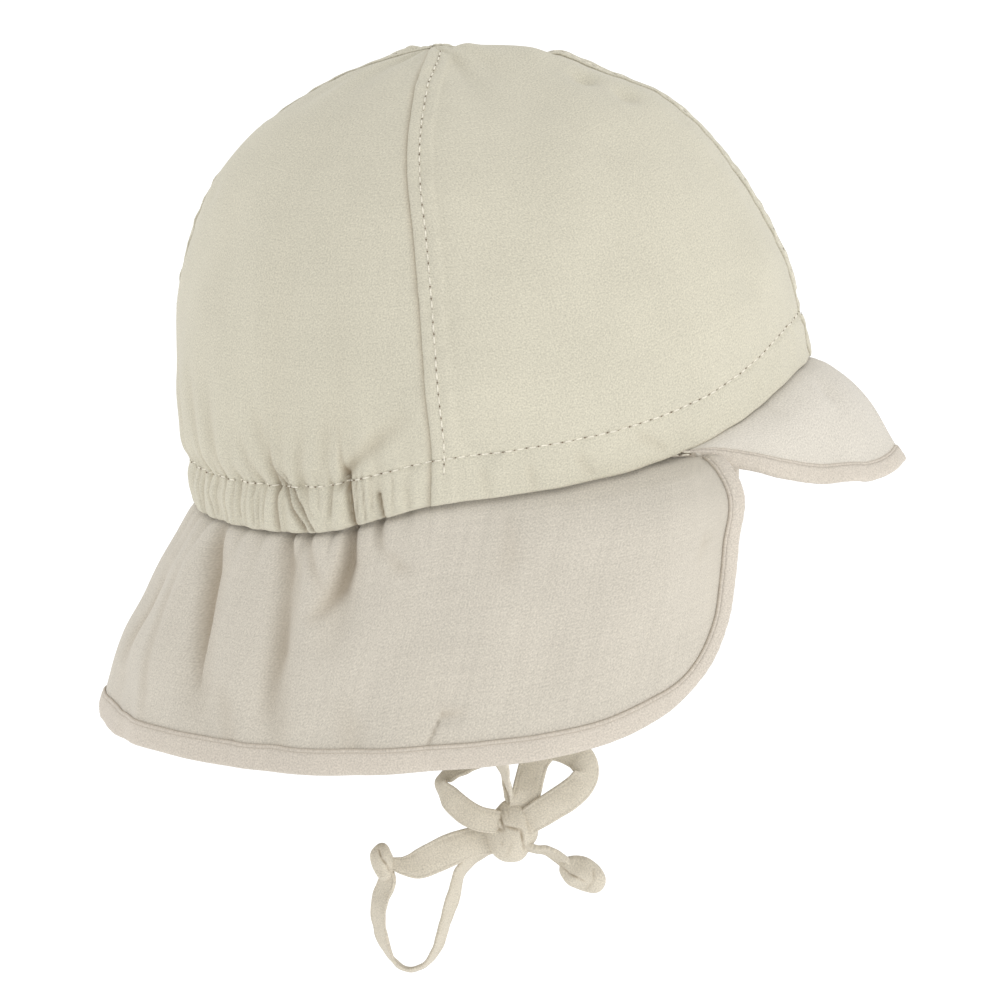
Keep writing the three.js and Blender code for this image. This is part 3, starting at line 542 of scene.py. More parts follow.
right_knot_creases = table(
    "x1 z1 x2 z2 width depth",
    (-6.0, -0.2, -3.6, -0.9, 0.26, 0.45),
    (-3.6, -0.9, -1.0, -0.5, 0.24, 0.65),
    (-1.0, -0.5, 1.0, -0.9, 0.30, 0.35),
    (1.6, 3.2, 2.9, 0.4, 0.34, 0.30),
    (2.9, 0.4, 2.4, -3.0, 0.34, 0.26),
)


def crease_depth(x, z, rows):
    """Depth of straight creases at points of a face, each fading at its ends."""
    depth = np.zeros_like(x)
    for x1, z1, x2, z2, width, deep in rows_of(rows):
        along = np.array((x2 - x1, z2 - z1))
        length = math.hypot(*along)
        t = np.clip(((x - x1) * along[0] + (z - z1) * along[1]) / length**2, 0, 1)
        gap = np.hypot(x - x1 - along[0] * t, z - z1 - along[1] * t)
        depth = np.maximum(depth, deep * bell(gap, width) * (0.5 + 0.5 * np.sin(math.pi * t)))
    return depth


def knot(name, row, creases, seed):
    """Wrapped knot: a fine ball pressed flat, lobed and creased on both faces."""
    size = {key: knot_sizes[key][row] for key in knot_sizes}
    bm = bmesh.new()
    bmesh.ops.create_uvsphere(bm, u_segments=96, v_segments=64, radius=1.0)
    chart = bm.loops.layers.uv.new("UVMap")
    dark = bm.verts.layers.float.new("painted_shade")
    ball = np.array([vert.co for vert in bm.verts])
    shape = ball * (size["long"], size["deep"], size["high"])
    depth = crease_depth(shape[:, 0] * np.sign(-ball[:, 1]), shape[:, 2], creases)
    depth = depth * smoothstep(np.abs(ball[:, 1]), 0.1, 0.55)
    lobes = ripple(shape, lobe_run, seed) * lobe_height
    shape = shape + ball * (lobes - depth)[:, None]
    tilt = math.radians(size["tilt"])
    turned = np.stack((
        shape[:, 0] * math.cos(tilt) - shape[:, 2] * math.sin(tilt),
        shape[:, 1],
        shape[:, 0] * math.sin(tilt) + shape[:, 2] * math.cos(tilt),
    ), axis=-1)
    frame_axes = np.array((bow_along, -bow_side, Vector((0, 0, 1))))
    placed = turned @ frame_axes * MM + np.array(bow_points(knot_sizes)[row])
    # Painted shade: the cloth is coloured darker the deeper it lies in a crease.
    for vert, place, deep in zip(bm.verts, placed, depth):
        vert.co = place
        vert[dark] = min(deep * 1.1, 0.9)
    for face in bm.faces:
        face.smooth = True
        for corner in face.loops:
            p = shape[corner.vert.index]
            corner[chart].uv = (p[0] * MM, p[2] * MM)
    bmesh.ops.recalc_face_normals(bm, faces=bm.faces[:])
    return dress(link(bm, name + "_wraps", tie_cotton), name)


bow_knot = knot("bow_knot", 0, bow_knot_creases, seed=11)
knot_left = knot("end_knot_left", 1, left_knot_creases, seed=12)
knot_right = knot("end_knot_right", 2, right_knot_creases, seed=13)


# Crown panels
# Four panels of cream cotton, seamed at the sides, front and back. Each seam's allowance
# is turned under one side and topstitched. The foot of the crown is folded up inside as
# a casing, whose elastic gathers it behind the ears.
opening_width = 132 * MM
opening_length = 160 * MM
opening_middle = 0.3 * MM
rim_fall = 39.9 * MM
apex_height = 99.6 * MM
apex_back = 17.6 * MM
crown_swell = 10 * MM
seam_angle = 98.0
back_sink = 0.3
casing_height = 11.5 * MM
casing_wall = 2.3 * MM
crown_cloth = 0.7 * MM
gather_depth = 2.9 * MM
casing_pinch = 2.4 * MM
elastic_ease = 25.0
seam_ridge = 0.55 * MM
seam_ridge_width = 4.6 * MM
seam_tuck = 0.9 * MM  # how far a panel runs on under its neighbour's folded edge
topstitch_inset = 2.6 * MM
crown_top = 89.75  # the turn at which the panels end, beside the apex
# Heights of the hem's fold and of the rows beside it, as shares of the casing, and how
# many rows there are
hem_bend, casing_above, casing_inside = 0.09, 1.4, 1.15
face_rows, casing_rows, bend_rows, inside_rows = 134, 30, 11, 14
# Widths of the puckers beside the seams and the casing's stitches, and of its groove
seam_pucker, stitch_pucker, stitch_groove = 4 * MM, 3.5 * MM, 0.6 * MM
seam_puff = 0.8 * MM  # how much the cloth stands up beside its seams
stitch_sink_depth = 0.4 * MM
stitch_pitch = 2.9 * MM
crown_colour = (0.585, 0.553, 0.447, 1)
crown_cotton = cotton("crown cotton", crown_colour)

rim_rows = table(
    "angle rise",
    (0, 0.535), (13, 0.512), (22.5, 0.443), (36, 0.284), (48, 0.144), (65, -0.005),
    (86, -0.126), (97, -0.182), (110, -0.317), (118, -0.394), (127, -0.431), (148, -0.446),
    (180, -0.435),
)
crown_rows = table(
    "turn front side back drift lift",
    (0, 0, 0, 0, 0, 0),
    (8, -0.2, 0.24, 0.42, -0.08, 0.02),
    (16, -0.26, 0.38, 0.66, 0, 0.05),
    (38, -0.06, 0.58, 1.16, 0.28, 0.17),
    (50, 0.08, 0.53, 1.12, 0.45, 0.25),
    (66, 0.08, 0.3, 0.5, 0.36, 0.36),
    (78, 0.03, 0.1, 0.15, 0.13, 0.31),
    (90, 0, 0, 0, 0, 0),
)
# Gathers from the side seam back, as broad waves
gather_rows = table(
    "place depth width run",
    (0.055, 0.3, 1.3, 1), (0.122, 0.85, 1.2, 0.8), (0.189, 1, 1.3, 2.2), (0.238, 0.6, 1, 1),
    (0.311, 0.9, 1.4, 1.2), (0.366, 0.95, 1.3, 3), (0.439, 0.55, 1.3, 1.6), (0.518, 0.6, 1.4, 1),
    (0.61, 0.7, 1.5, 2.6), (0.707, 0.75, 1.6, 1.4), (0.805, 0.8, 1.7, 2), (0.896, 0.7, 1.7, 1.2),
)
# Sharp puckers of the casing: the angle at its stitching and at its hem, millimetres of
# width and depth, shares of its height between which it shows, and its run above
pucker_rows = table(
    "top foot width depth low high run",
    (172, 171, 0.5, 0.6, 0, 1, 4), (168, 168.6, 0.5, 0.5, 0, 1, 6), (164.4, 163.6, 0.5, 0.6, 0, 1, 3),
    (161, 161.6, 0.45, 0.5, 0, 1, 5), (158.5, 158, 0.5, 0.6, 0, 1, 3), (156, 157, 0.4, 0.5, 0, 1, 2),
    (152, 151, 0.5, 0.7, 0, 1, 6), (149, 149.5, 0.45, 0.5, 0.1, 1, 2), (145.5, 145, 0.5, 0.65, 0, 1, 7),
    (142.4, 142.6, 0.4, 0.5, 0, 0.9, 2), (140.8, 140.2, 0.4, 0.55, 0.2, 1, 3), (138, 138.6, 0.5, 0.5, 0, 1, 3),
    (136.3, 136, 0.4, 0.6, 0.1, 1, 5), (134.6, 135, 0.35, 0.45, 0, 0.8, 2), (133, 133.4, 0.4, 0.6, 0.15, 1, 4),
    (130.2, 129.6, 0.55, 1.2, 0, 1, 8), (128.2, 123.2, 0.5, 1.5, 0, 1, 6), (126.6, 121, 0.45, 1.3, 0, 1, 3),
    (123.6, 119.6, 0.45, 0.4, 0.3, 1, 2), (120.3, 118.8, 0.45, 0.4, 0.5, 1, 3), (117.6, 117.2, 0.5, 0.6, 0.3, 1, 4),
    (114.2, 112.7, 0.6, 2.0, -0.2, 1.1, 5), (112.3, 111.6, 0.35, 0.6, 0, 1, 2), (111, 110.2, 0.4, 0.6, 0, 1, 2),
    (109.4, 109, 0.4, 0.45, 0.2, 1, 0), (108.6, 106.8, 0.5, 1.6, -0.1, 0.55, 0), (105.2, 105, 0.5, 0.4, 0, 0.8, 3),
)
gather_shift = 2.3
near_millimetres = 1.3  # millimetres round the rim for each degree

# Soft folds of the crown, each a line of places: angle, height above the rim, width and
# depth in millimetres
crown_folds = (
    ((115.5, 11, 1.0, 1.4), (113.6, 15, 1.3, 1.6), (109.5, 18.5, 2.2, 1.3), (105.5, 21.5, 2.6, 0.9),
     (101, 25, 2.6, 0)),
    ((129.8, 11, 1.0, 1.2), (131, 18, 1.5, 1.1), (132.4, 26, 2.2, 0.7), (133.5, 34, 2.6, 0)),
    ((134, 12, 0.9, 0.8), (137, 20, 1.6, 0.6), (139, 28, 2.2, 0)),
    ((124.5, 12, 0.9, 0.6), (123.5, 20, 1.6, 0.5), (121.5, 32, 2.6, 0)),
    ((119.5, 13, 1.2, 0.4), (117.5, 24, 2.6, 0.6), (116, 36, 3.0, 0)),
    ((145.6, 12, 1.0, 0.8), (147, 22, 1.8, 0.7), (148.5, 36, 2.4, 0)),
    ((152, 12, 1.0, 0.9), (154, 26, 2.0, 0.8), (156, 42, 2.6, 0)),
    ((161, 12, 1.0, 0.9), (163, 24, 2.0, 0.8), (165, 40, 2.6, 0)),
    ((171, 12, 1.0, 0.9), (172, 26, 2.0, 0.7), (173, 40, 2.6, 0)),
    ((56, 3, 1.0, 0.5), (60, 7, 1.4, 0.6), (63, 11, 1.0, 0)),
    ((70, 2, 0.9, 0.5), (72, 6, 1.2, 0.6), (73, 10, 1.0, 0)),
    ((80, 1, 0.9, 0.4), (81, 6, 1.2, 0.5), (82, 10, 1.0, 0)),
    ((88, 1, 0.9, 0.4), (89, 6, 1.2, 0.4), (89.5, 10, 1.0, 0)),
    ((102, 1, 0.8, 0.5), (102.5, 6, 1.0, 0.4), (103, 10, 1.0, 0)),
)


def fold_depth(x, y, lines):
    """Depth at x and y of folds that run along lines of x, y, width and depth."""
    total = np.zeros(np.broadcast(x, y).shape)
    for line in lines:
        deepest = np.zeros_like(total)
        for (x1, y1, w1, d1), (x2, y2, w2, d2) in zip(line, line[1:]):
            ax, ay = (x2 - x1) * near_millimetres, y2 - y1
            px, py = (x - x1) * near_millimetres, y - y1
            t = np.clip((px * ax + py * ay) / (ax * ax + ay * ay), 0, 1)
            gap = np.hypot(px - ax * t, py - ay * t)
            deepest = np.maximum(deepest, (d1 + (d2 - d1) * t) * bell(gap, w1 + (w2 - w1) * t))
        total += deepest
    return total


def near_side(angle):
    round_angle = np.mod(angle, 360)
    return np.where(round_angle > 180, 360 - round_angle, round_angle)


def outward(angle):
    a = np.radians(angle)
    return np.stack((-np.sin(a), -np.cos(a), np.zeros_like(a)), axis=-1)


def rim_height(angle):
    return rim_fall * smooth_column(rim_rows, "angle", "rise", near_side(angle))


def dome_point(angle, turn):
    """Crown without gathers, by angle round the head and turn from rim to apex."""
    angle, turn = np.broadcast_arrays(np.asarray(angle, float), np.asarray(turn, float))
    away = outward(angle)
    t = np.radians(turn)
    front = np.maximum(-away[..., 1], 0) ** 2
    back = np.maximum(away[..., 1], 0) ** 2
    side = away[..., 0] ** 2
    swell = {key: crown_swell * smooth_column(crown_rows, "turn", key, turn) for key in crown_rows if key != "turn"}
    swollen = front * swell["front"] + side * swell["side"] + back * swell["back"]
    rim_x = away[..., 0] * opening_width / 2
    rim_y = opening_middle + away[..., 1] * opening_length / 2
    rim_z = rim_height(angle)
    return np.stack((
        rim_x * np.cos(t) + away[..., 0] * swollen,
        apex_back + (rim_y - apex_back) * np.cos(t) + away[..., 1] * swollen + side * swell["drift"],
        rim_z + (apex_height - rim_z) * np.sin(t) + (front - back_sink * back) * swell["lift"],
    ), axis=-1)


def axis_distance(point, turn):
    """Distance of the crown's points from the line between its rim's middle and its apex."""
    return np.hypot(point[..., 0], point[..., 1] - apex_back * np.sin(np.radians(turn)))


def crown_normal(angle, turn):
    step = 0.2
    across = dome_point(angle + step, turn) - dome_point(angle - step, turn)
    rising = dome_point(angle, turn + step) - dome_point(angle, turn - step)
    return unit(np.cross(rising, across))


def turn_at(angle, height):
    return np.degrees(np.arcsin(np.clip(height / (apex_height - rim_height(angle)), -1, 1)))


def shifted(angle, shift=gather_shift):
    """Angle from the front on either side, moved a little on the left one."""
    return np.where(angle > 180, 360 - angle + shift, angle)


def gather_at(angle, height):
    """Depth of the elastic's gathers at an angle and a height above the rim."""
    near = shifted(angle)
    above = np.maximum(height - casing_height, 0)
    depth = np.zeros(np.broadcast(angle, height).shape)
    for place, deep, width, run in rows_of(gather_rows):
        middle = seam_angle + (180 - seam_angle) * place
        spread = width * (1 + above / casing_height / 2)
        depth += gather_depth * deep * np.exp(-above / (run * casing_height)) * bell(near - middle, spread)
    return depth


def pucker_at(angle, height):
    """Depth of the casing's sharp puckers, which lean and stop as the table says."""
    near = shifted(angle)
    level = height / casing_height
    depth = np.zeros(np.broadcast(angle, height).shape)
    for top, foot, width, deep, low, high, run in rows_of(pucker_rows):
        place = foot + (top - foot) * np.clip(level, -0.2, 1.5)
        shown = smoothstep(level, low - 0.1, low + 0.12)
        above = np.exp(-np.maximum(height - high * casing_height, 0) / (max(run, 0.6) * MM))
        depth = np.maximum(depth, deep * MM * shown * above * bell((near - place) * near_millimetres, width))
    return depth


def elastic_at(angle):
    return smoothstep(near_side(angle), seam_angle, seam_angle + elastic_ease)


def beside_seam(gap):
    """Raised seam allowance by the distance from the seam, with its sunk topstitch."""
    edge = 0.5 + 0.5 * smoothstep(gap, 0, 0.6 * MM)
    raised = edge * (1 - smoothstep(gap, seam_ridge_width, seam_ridge_width + 1.1 * MM))
    stitch = 0.3 * MM * bell(gap - topstitch_inset, 0.5 * MM)
    return (seam_ridge * raised - stitch) * (gap > 0)


def seam_gaps(angle, around):
    """Distances into the allowance of the side seam and of the middle seam."""
    plain = np.mod(angle, 360)
    side = np.radians(seam_angle - near_side(angle)) * around
    ahead = -np.radians(np.where(plain > 180, plain - 360, plain)) * around
    behind = np.radians(plain - 180) * around
    return side, np.where(near_side(angle) < seam_angle, ahead, behind)


def ridge_at(angle, around):
    side, middle = seam_gaps(angle, around)
    return beside_seam(side) + beside_seam(middle)


dimple_rows = table(
    "angle turn width depth",
    (24.5, 64, 3.6, 2.4), (22, 57, 3.2, 2.0), (12, 49, 3, 0.6), (10, 40, 3, 0.5), (9, 31, 3, 0.5),
    (335, 60, 4, 0.9), (212, 52, 4, 0.8), (168, 60, 4, 0.8), (165, 44, 4, 0.7), (30, 20, 4, 0.5),
    (52, 12, 5, 0.6),
)
# Uneven relief of the crown: its run and depth in millimetres, and its seed
crown_relief = {
    "seams": (6.5, 0.30, 21), "stitching": (5, 0.30, 22), "casing": (10, 0.35, 23),
    "broad": (60, 1.2, 24), "soft": (24, 0.40, 25), "apex": (11, 1.2, 26),
}
# Where the near side of the apex stands up before the middle seam and the far one sinks
apex_window = (-1 * MM, 9 * MM, 17 * MM)
apex_crest, apex_sink, front_sink = 1.3 * MM, 3.0 * MM, 1.6 * MM
crest_aside, crest_width = 9 * MM, 6 * MM
dip_ahead, dip_width, dip_length = 24 * MM, 15 * MM, 13 * MM


def crown_detail(angle, turn, point, height, around):
    """Small relief of the sewn cloth: puckers, dimples, soft folds and stitch lines."""
    side, middle = seam_gaps(angle, around)
    ease = np.clip((90 - turn) / 8, 0, 1)
    low = fold_depth(shifted(angle), height / MM, crown_folds) * MM
    by_seam = bell(side - topstitch_inset, seam_pucker) + bell(middle - topstitch_inset, seam_pucker)

    def uneven(key, place=point):
        run, deep, seed = crown_relief[key]
        return ripple(place, run * MM, seed) * deep * MM

    seam_puckers = uneven("seams", point * (1, 1, 1.4)) * by_seam
    stitch_sink = stitch_sink_depth * bell(height - casing_height, stitch_groove)
    stitch_puckers = uneven("stitching") * bell(height - casing_height, stitch_pucker)
    band = uneven("casing") * (1 - smoothstep(height, 0.5 * casing_height, casing_height))
    soft = (uneven("broad") + uneven("soft")) * smoothstep(height, 0.8 * casing_height, 2.5 * casing_height)
    crowning = uneven("apex", outward(angle) * 30 * MM) * smoothstep(turn, 56, 78)
    aside, ahead = -point[..., 0], -point[..., 1]
    above = smoothstep(turn, 40, 60)
    window = above * (1 - smoothstep(np.abs(ahead - apex_window[0]), *apex_window[1:]))
    crest = -apex_crest * bell(aside - crest_aside, crest_width) * window
    far_side = (1 - smoothstep(aside, 0, 7 * MM)) * smoothstep(aside, -42 * MM, -20 * MM)
    far_sink = apex_sink * far_side * window
    front_dip = front_sink * bell(aside, dip_width) * bell(ahead - dip_ahead, dip_length) * above
    dimples = np.zeros_like(height)
    for a, t, width, depth in rows_of(dimple_rows):
        gap = np.linalg.norm(point - dome_point(a, t), axis=-1)
        dimples += depth * MM * bell(gap, width * MM)
    puff = -seam_puff * (bell(middle - 7 * MM, 4 * MM) + 0.7 * bell(side - 8 * MM, 5 * MM)) * (turn > 12)
    sewing = low + seam_puckers + stitch_sink + stitch_puckers + band
    return (sewing + soft + crowning + crest + far_sink + front_dip + dimples + puff) * ease


def crown_point(angle, turn, depth, detail=True):
    """Outer face of the crown, moved inward by a depth."""
    angle, turn = np.broadcast_arrays(np.asarray(angle, float), np.asarray(turn, float))
    point = dome_point(angle, turn)
    height = point[..., 2] - rim_height(angle)
    around = axis_distance(point, turn)
    ease = np.clip((90 - turn) / 10, 0, 1)
    gathers = gather_at(angle, height) * ease
    pinch = casing_pinch * elastic_at(angle) * bell(height - casing_height, casing_height / 3)
    inward = gathers * (0.4 if detail else 1) + pinch * (0.8 if detail else 1) - ridge_at(angle, around) + depth
    if detail:
        inward = inward + pucker_at(angle, height) * ease + crown_detail(angle, turn, point, height, around)
    return point - crown_normal(angle, turn) * inward[..., None]


def panel_rows(angles):
    """Turns and depths of a panel's grid, with its face rows spread from apex to hem."""
    foot = turn_at(angles, casing_above * casing_height)
    fold = (casing_wall - crown_cloth) / 2
    turns = [crown_top + (foot - crown_top) * share for share in np.linspace(0, 1, face_rows + 1)[:-1]]
    rows = [(level, 0.0) for level in np.linspace(casing_above, hem_bend, casing_rows)]
    bends = np.linspace(0, math.pi, bend_rows)[1:-1]
    rows += [(hem_bend * (1 - math.sin(bend)), fold * (1 - math.cos(bend))) for bend in bends]
    rows += [(level, 2 * fold) for level in np.linspace(hem_bend, casing_inside, inside_rows)]
    depths = [0.0] * len(turns) + [depth for _, depth in rows]
    turns += [turn_at(angles, level * casing_height) for level, _ in rows]
    return np.array(turns), np.array(depths)[:, None] * np.ones_like(angles)[None, :]


def crown_panel(name, start, end, under_start, under_end, cell):
    """Panel between two seams, run on under a neighbour where it says, its cells in mm."""
    tuck = math.degrees(seam_tuck / (opening_width / 2))
    low = start - (tuck if under_start else 0)
    high = end + (tuck if under_end else 0)
    count = int(math.radians(high - low) * opening_length / 2 / (cell * MM))
    angles = np.linspace(low, high, count)
    turns, depths = panel_rows(angles)
    beyond = np.maximum(start - angles, angles - end)
    depths = depths + smoothstep(beyond, -0.1 * tuck, tuck)[None, :] * 0.7 * MM
    grid_angles = np.broadcast_to(angles, turns.shape)
    clamped = np.clip(grid_angles, start + 1e-4, end - 1e-4)
    points = crown_point(clamped, turns, depths)
    points = points + (dome_point(grid_angles, turns) - dome_point(clamped, turns))
    across = lengths_along(points)
    across = across - across[:, count // 2][:, None]
    chart = np.stack((across, -lengths_down(points)), axis=-1)
    heights = dome_point(grid_angles, turns)[..., 2] - rim_height(grid_angles)
    around = axis_distance(points, turns)
    side, middle = seam_gaps(clamped, around)
    # Painted shade in the panel's hollows: in the casing's puckers, beside the folded edges of the seams, in the
    # soft folds and in the gathers.
    beside = 0.34 * (bell(side, 0.9 * MM) * (side < 0) + bell(middle, 0.7 * MM) * (middle < 0))
    painted_shade = np.clip(pucker_at(grid_angles, heights) / (1.5 * MM), 0, 1) ** 1.3 * 0.75 + beside
    folds = fold_depth(shifted(grid_angles), heights / MM, crown_folds) * 0.16
    painted_shade = np.clip(painted_shade + folds + gather_at(grid_angles, heights) / MM * 0.04, 0, 0.85)
    normals = crown_normal(grid_angles, turns)
    piece = laid_grid(name + "_cloth", points, chart, painted_shade, normals, crown_cotton)
    thicken(piece, crown_cloth)
    return dress(piece, name)


crown_panel("crown_panel_front_right", 0, seam_angle, True, False, cell=0.75)
crown_panel("crown_panel_front_left", 360 - seam_angle, 360, False, False, cell=1.1)
back_right = crown_panel("crown_panel_back_right", seam_angle, 180, True, True, cell=0.55)
back_left = crown_panel("crown_panel_back_left", 180, 360 - seam_angle, False, True, cell=0.9)

# Neck flap
# A deep sheet of the same cotton, seamed inside the hem and hanging over the ears and
# the nape. It falls in soft folds from the gathers and flares out at the back.
flap_level = 75 * MM
flap_flare = 26 * MM
flap_fold_depth = 5 * MM
flap_front_angle = 46.8
flap_start = 1.6 * MM
flap_lag = 1.8
flap_cloth = 0.7 * MM
flap_wall = 1.1 * MM
gather_fade = 0.13
front_strip = 6.0
seam_ease = 10.0
tuck_gap = 0.65 * MM
peak_wall = 1.6 * MM
peak_gap = 0.9
binding_wall = 0.8 * MM
binding_ease = 0.6 * MM
hem_tuck = 7 * MM
flap_flush = 1.6 * MM  # how far the flap stands out under the hem
flap_corner = 3.6 * MM  # how much more at its front corners
corner_angles = (50, 62)  # degrees from the front between which that fades out
edge_columns, back_columns, hidden_rows, hanging_rows = 82, 280, 5, 92
flap_ripples = ((34 * MM, 0.7 * MM, 31, 1), (13 * MM, 0.22 * MM, 32, 0.35))
# The crown's cotton, its colour set a little darker as painted shade, since the flap is less lit.
flap_shaded_colour = (0.570, 0.528, 0.452, 1)
flap_cotton = cotton("flap cotton", flap_shaded_colour, slub=0.6, mottle=0.13)
flap_front_rows = table(
    "i top end level",
    (0, 0.09, 0, 0.02),
    (1, 0.117, 0, -0.03),
    (2, 0.156, 0, -0.18),
    (3, 0.203, 0, -0.35),
    (4, 0.262, 0.016, -0.5),
    (5, 0.346, 0.082, -0.64),
    (6, 0.453, 0.207, -0.745),
    (7, 0.59, 0.404, -0.84),
    (8, 0.727, 0.609, -0.89),
    (9, 0.863, 0.844, -0.925),
)
flap_hem_rows = table(
    "angle level",
    (90, -0.925), (105, -0.957), (118, -0.978), (131, -0.984), (147, -0.978), (163, -0.985),
    (180, -0.987),
)
flare_rows = table(
    "angle flare",
    (39, 0.6), (55, 0.52), (75, 0.47), (95, 0.5), (115, 0.58), (130, 0.68), (145, 0.84),
    (162, 1.0), (180, 1.09),
)
flare_drop_rows = table(
    "drop out front",
    (0, 0, 0), (0.03, 0.05, 0.3), (0.06, 0.1, 0.66), (0.14, 0.2, 1.05), (0.25, 0.33, 1.14),
    (0.44, 0.56, 1.1), (0.63, 0.8, 1.03), (0.86, 0.93, 1), (1, 1, 1),
)
# Folds by their place at the rim and at the hem, hollows positive
flap_fold_rows = table(
    "top hem width depth start stop",
    (147, 136, 3.4, 1.1, -0.05, 1),
    (126, 123, 3.0, 1.1, -0.05, 1.1),
    (112, 117, 3.0, 0.95, -0.05, 0.62),
    (136, 129, 4.5, -0.5, 0.05, 1.1),
    (156, 150, 5, -0.6, 0, 1.2),
    (93, 97, 4.5, 0.35, 0.5, 1.25),
    (167, 166, 5, 0.7, -0.05, 1.1),
    (198, 205, 5, 1, -0.05, 1.1),
    (214, 222, 5, 0.9, -0.05, 1),
    (233, 237, 4.2, 1, -0.05, 1.1),
    (248, 245, 3.6, 0.7, -0.05, 0.7),
)
# Sharper folds of the flap, as lines of angle, height, width and depth
flap_lines = (
    ((149.6, -20, 1.4, 1.2), (148.6, -25, 2.0, 2.2), (146.4, -31, 2.0, 2.8), (143.8, -42, 1.7, 2.6),
     (141.9, -49, 1.2, 2.0), (140.4, -55, 0.7, 1.0), (139.6, -59, 0.5, 0)),
    ((128.5, -17, 1.5, 1.2), (126.8, -25, 2.0, 1.6), (126, -32.5, 1.5, 1.0), (124.8, -46, 2.2, 1.5),
     (125.5, -59.5, 1.6, 0.5), (126, -64, 1.6, 0)),
    ((123.5, -17, 1.3, 1.0), (120.5, -24, 1.4, 1.1), (118.5, -28, 1.3, 0.6), (117.5, -31, 1.2, 0)),
    ((114, -14, 1.5, 1.9), (113.6, -23, 2.2, 2.8), (114.8, -29.5, 2.3, 2.6), (117, -34.5, 2.0, 1.4),
     (120, -38.5, 1.6, 0)),
    ((108, -12, 1.0, 1.2), (107, -18, 1.3, 0.8), (105, -22, 1.2, 0)),
    ((104.5, -20, 1.4, 0.5), (103.5, -22.5, 1.6, 0.8), (101, -23, 1.4, 0.3)),
    ((92.4, -50, 0.5, 0), (94, -54, 0.45, 0.9), (95, -57.5, 0.45, 1.1), (97, -64.5, 0.4, 0.8),
     (98, -68, 0.4, 0)),
    ((166, -34, 2.0, 0), (166, -43, 2.2, 1.4), (167, -52, 2.4, 1.0), (168, -60, 2.4, 0)),
    ((158, -26, 2.0, 0), (156, -38, 2.2, 0.8), (152, -60, 2.4, 0.9), (150, -72, 2.4, 0)),
    ((52, -12, 1.3, 0), (52.5, -16, 1.0, 0.7), (53.5, -22, 1.2, 0)),
    ((84, -10, 2.0, 0.3), (84, -18, 2.4, 0.6), (86, -26, 2.4, 0)),
    ((136, -52, 2.6, 0), (133, -60, 2.6, 0.7), (131, -72, 2.4, 0.6)),
    ((112, -52, 3.0, 0), (110, -62, 3.0, 0.6), (109, -73, 2.6, 0.5)),
)


def flap_creases(angle, height):
    return fold_depth(shifted(angle, 1.5 * gather_shift), height / MM, flap_lines) * MM


def peak_angle():
    return flap_front_angle + (seam_angle - flap_front_angle) * flap_front_rows["top"][0] - peak_gap


def flap_drop(angle, height):
    rim = rim_height(angle)
    return (rim - height) / (rim - flap_level * flap_hem_rows["level"][-1])


def flap_fold_at(angle, drop):
    depth = np.zeros(np.broadcast(angle, drop).shape)
    for top, hem, width, deep, start, stop in rows_of(flap_fold_rows):
        place = top + (hem - top) * drop
        begun = smoothstep(drop, start, start + 0.25)
        ended = 1 - smoothstep(drop, stop - 0.35, stop)
        depth += flap_fold_depth * deep * begun * ended * bell(angle - place, width)
    return depth


def flap_tuck_depth(angle):
    beside_peak = 1 - smoothstep(near_side(angle), peak_angle(), peak_angle() + seam_ease)
    peak_room = peak_wall + tuck_gap + binding_wall + binding_ease
    return casing_wall + tuck_gap + beside_peak * peak_room + flap_wall / 2


def flap_point(angle, height, detail=True):
    """Middle face of the flap below the rim, by angle and height."""
    drop = np.maximum(flap_drop(angle, height), 0)
    near = near_side(angle)
    flare = flap_flare * smooth_column(flare_rows, "angle", "flare", near)
    plain = smooth_column(flare_drop_rows, "drop", "out", drop)
    front = smooth_column(flare_drop_rows, "drop", "front", drop)
    spread = front + (plain - front) * smoothstep(near, flap_front_angle + front_strip, seam_angle)
    zero = np.zeros_like(drop)
    gathers = gather_at(angle, zero) * np.exp(-drop / gather_fade)
    point = dome_point(angle, zero)
    around = np.hypot(point[..., 0], point[..., 1])
    inward = flap_tuck_depth(angle) + gathers - ridge_at(angle, around) * np.exp(-drop / gather_fade)
    point = point - crown_normal(angle, zero) * inward[..., None]
    out = flare * spread - flap_fold_at(angle, drop) * (0.4 if detail else 1)
    if detail:
        corner = smoothstep(drop, 0, 0.05) * (1 - smoothstep(drop, 0.08, 0.3))
        corner = flap_corner * corner * (1 - smoothstep(near, *corner_angles))
        flush = flap_flush * smoothstep(drop, 0, 0.03) * (1 - smoothstep(drop, 0.1, 0.6))
        out = out - flap_creases(angle, height) + corner + flush
        trial = point + outward(angle) * (flare * spread)[..., None]
        trial[..., 2] = height
        soft = sum(ripple(trial * (1, 1, steep), run, seed) * deep for run, deep, seed, steep in flap_ripples)
        out = out + soft * smoothstep(drop, 0.02, 0.25)
    point = point + outward(angle) * out[..., None]
    point[..., 2] = height
    return point


def flap_columns():
    """The rim angle that each column starts from and its point on the edge."""
    i = np.linspace(0, flap_front_rows["i"][-1], edge_columns)
    span = seam_angle - flap_front_angle
    top = flap_front_angle + span * smooth_column(flap_front_rows, "i", "top", i)
    end = flap_front_angle + span * smooth_column(flap_front_rows, "i", "end", i)
    level = flap_level * smooth_column(flap_front_rows, "i", "level", i)
    start = rim_height(top) - flap_start
    level = np.where(i < 1, start + (flap_level * flap_front_rows["level"][1] - start) * i, level)
    back = np.linspace(seam_angle - 3, 360 - seam_angle + 3, back_columns)
    back_level = flap_level * smooth_column(flap_hem_rows, "angle", "level", near_side(back))
    lag = flap_lag * (1 - smoothstep(end, flap_front_angle, seam_angle - seam_ease))
    return (
        np.concatenate((top, back, (360 - top - lag)[::-1])),
        np.concatenate((end, back, (360 - end - lag)[::-1])),
        np.concatenate((level, back_level, level[::-1])),
    )


flap_top, flap_end, flap_height = flap_columns()


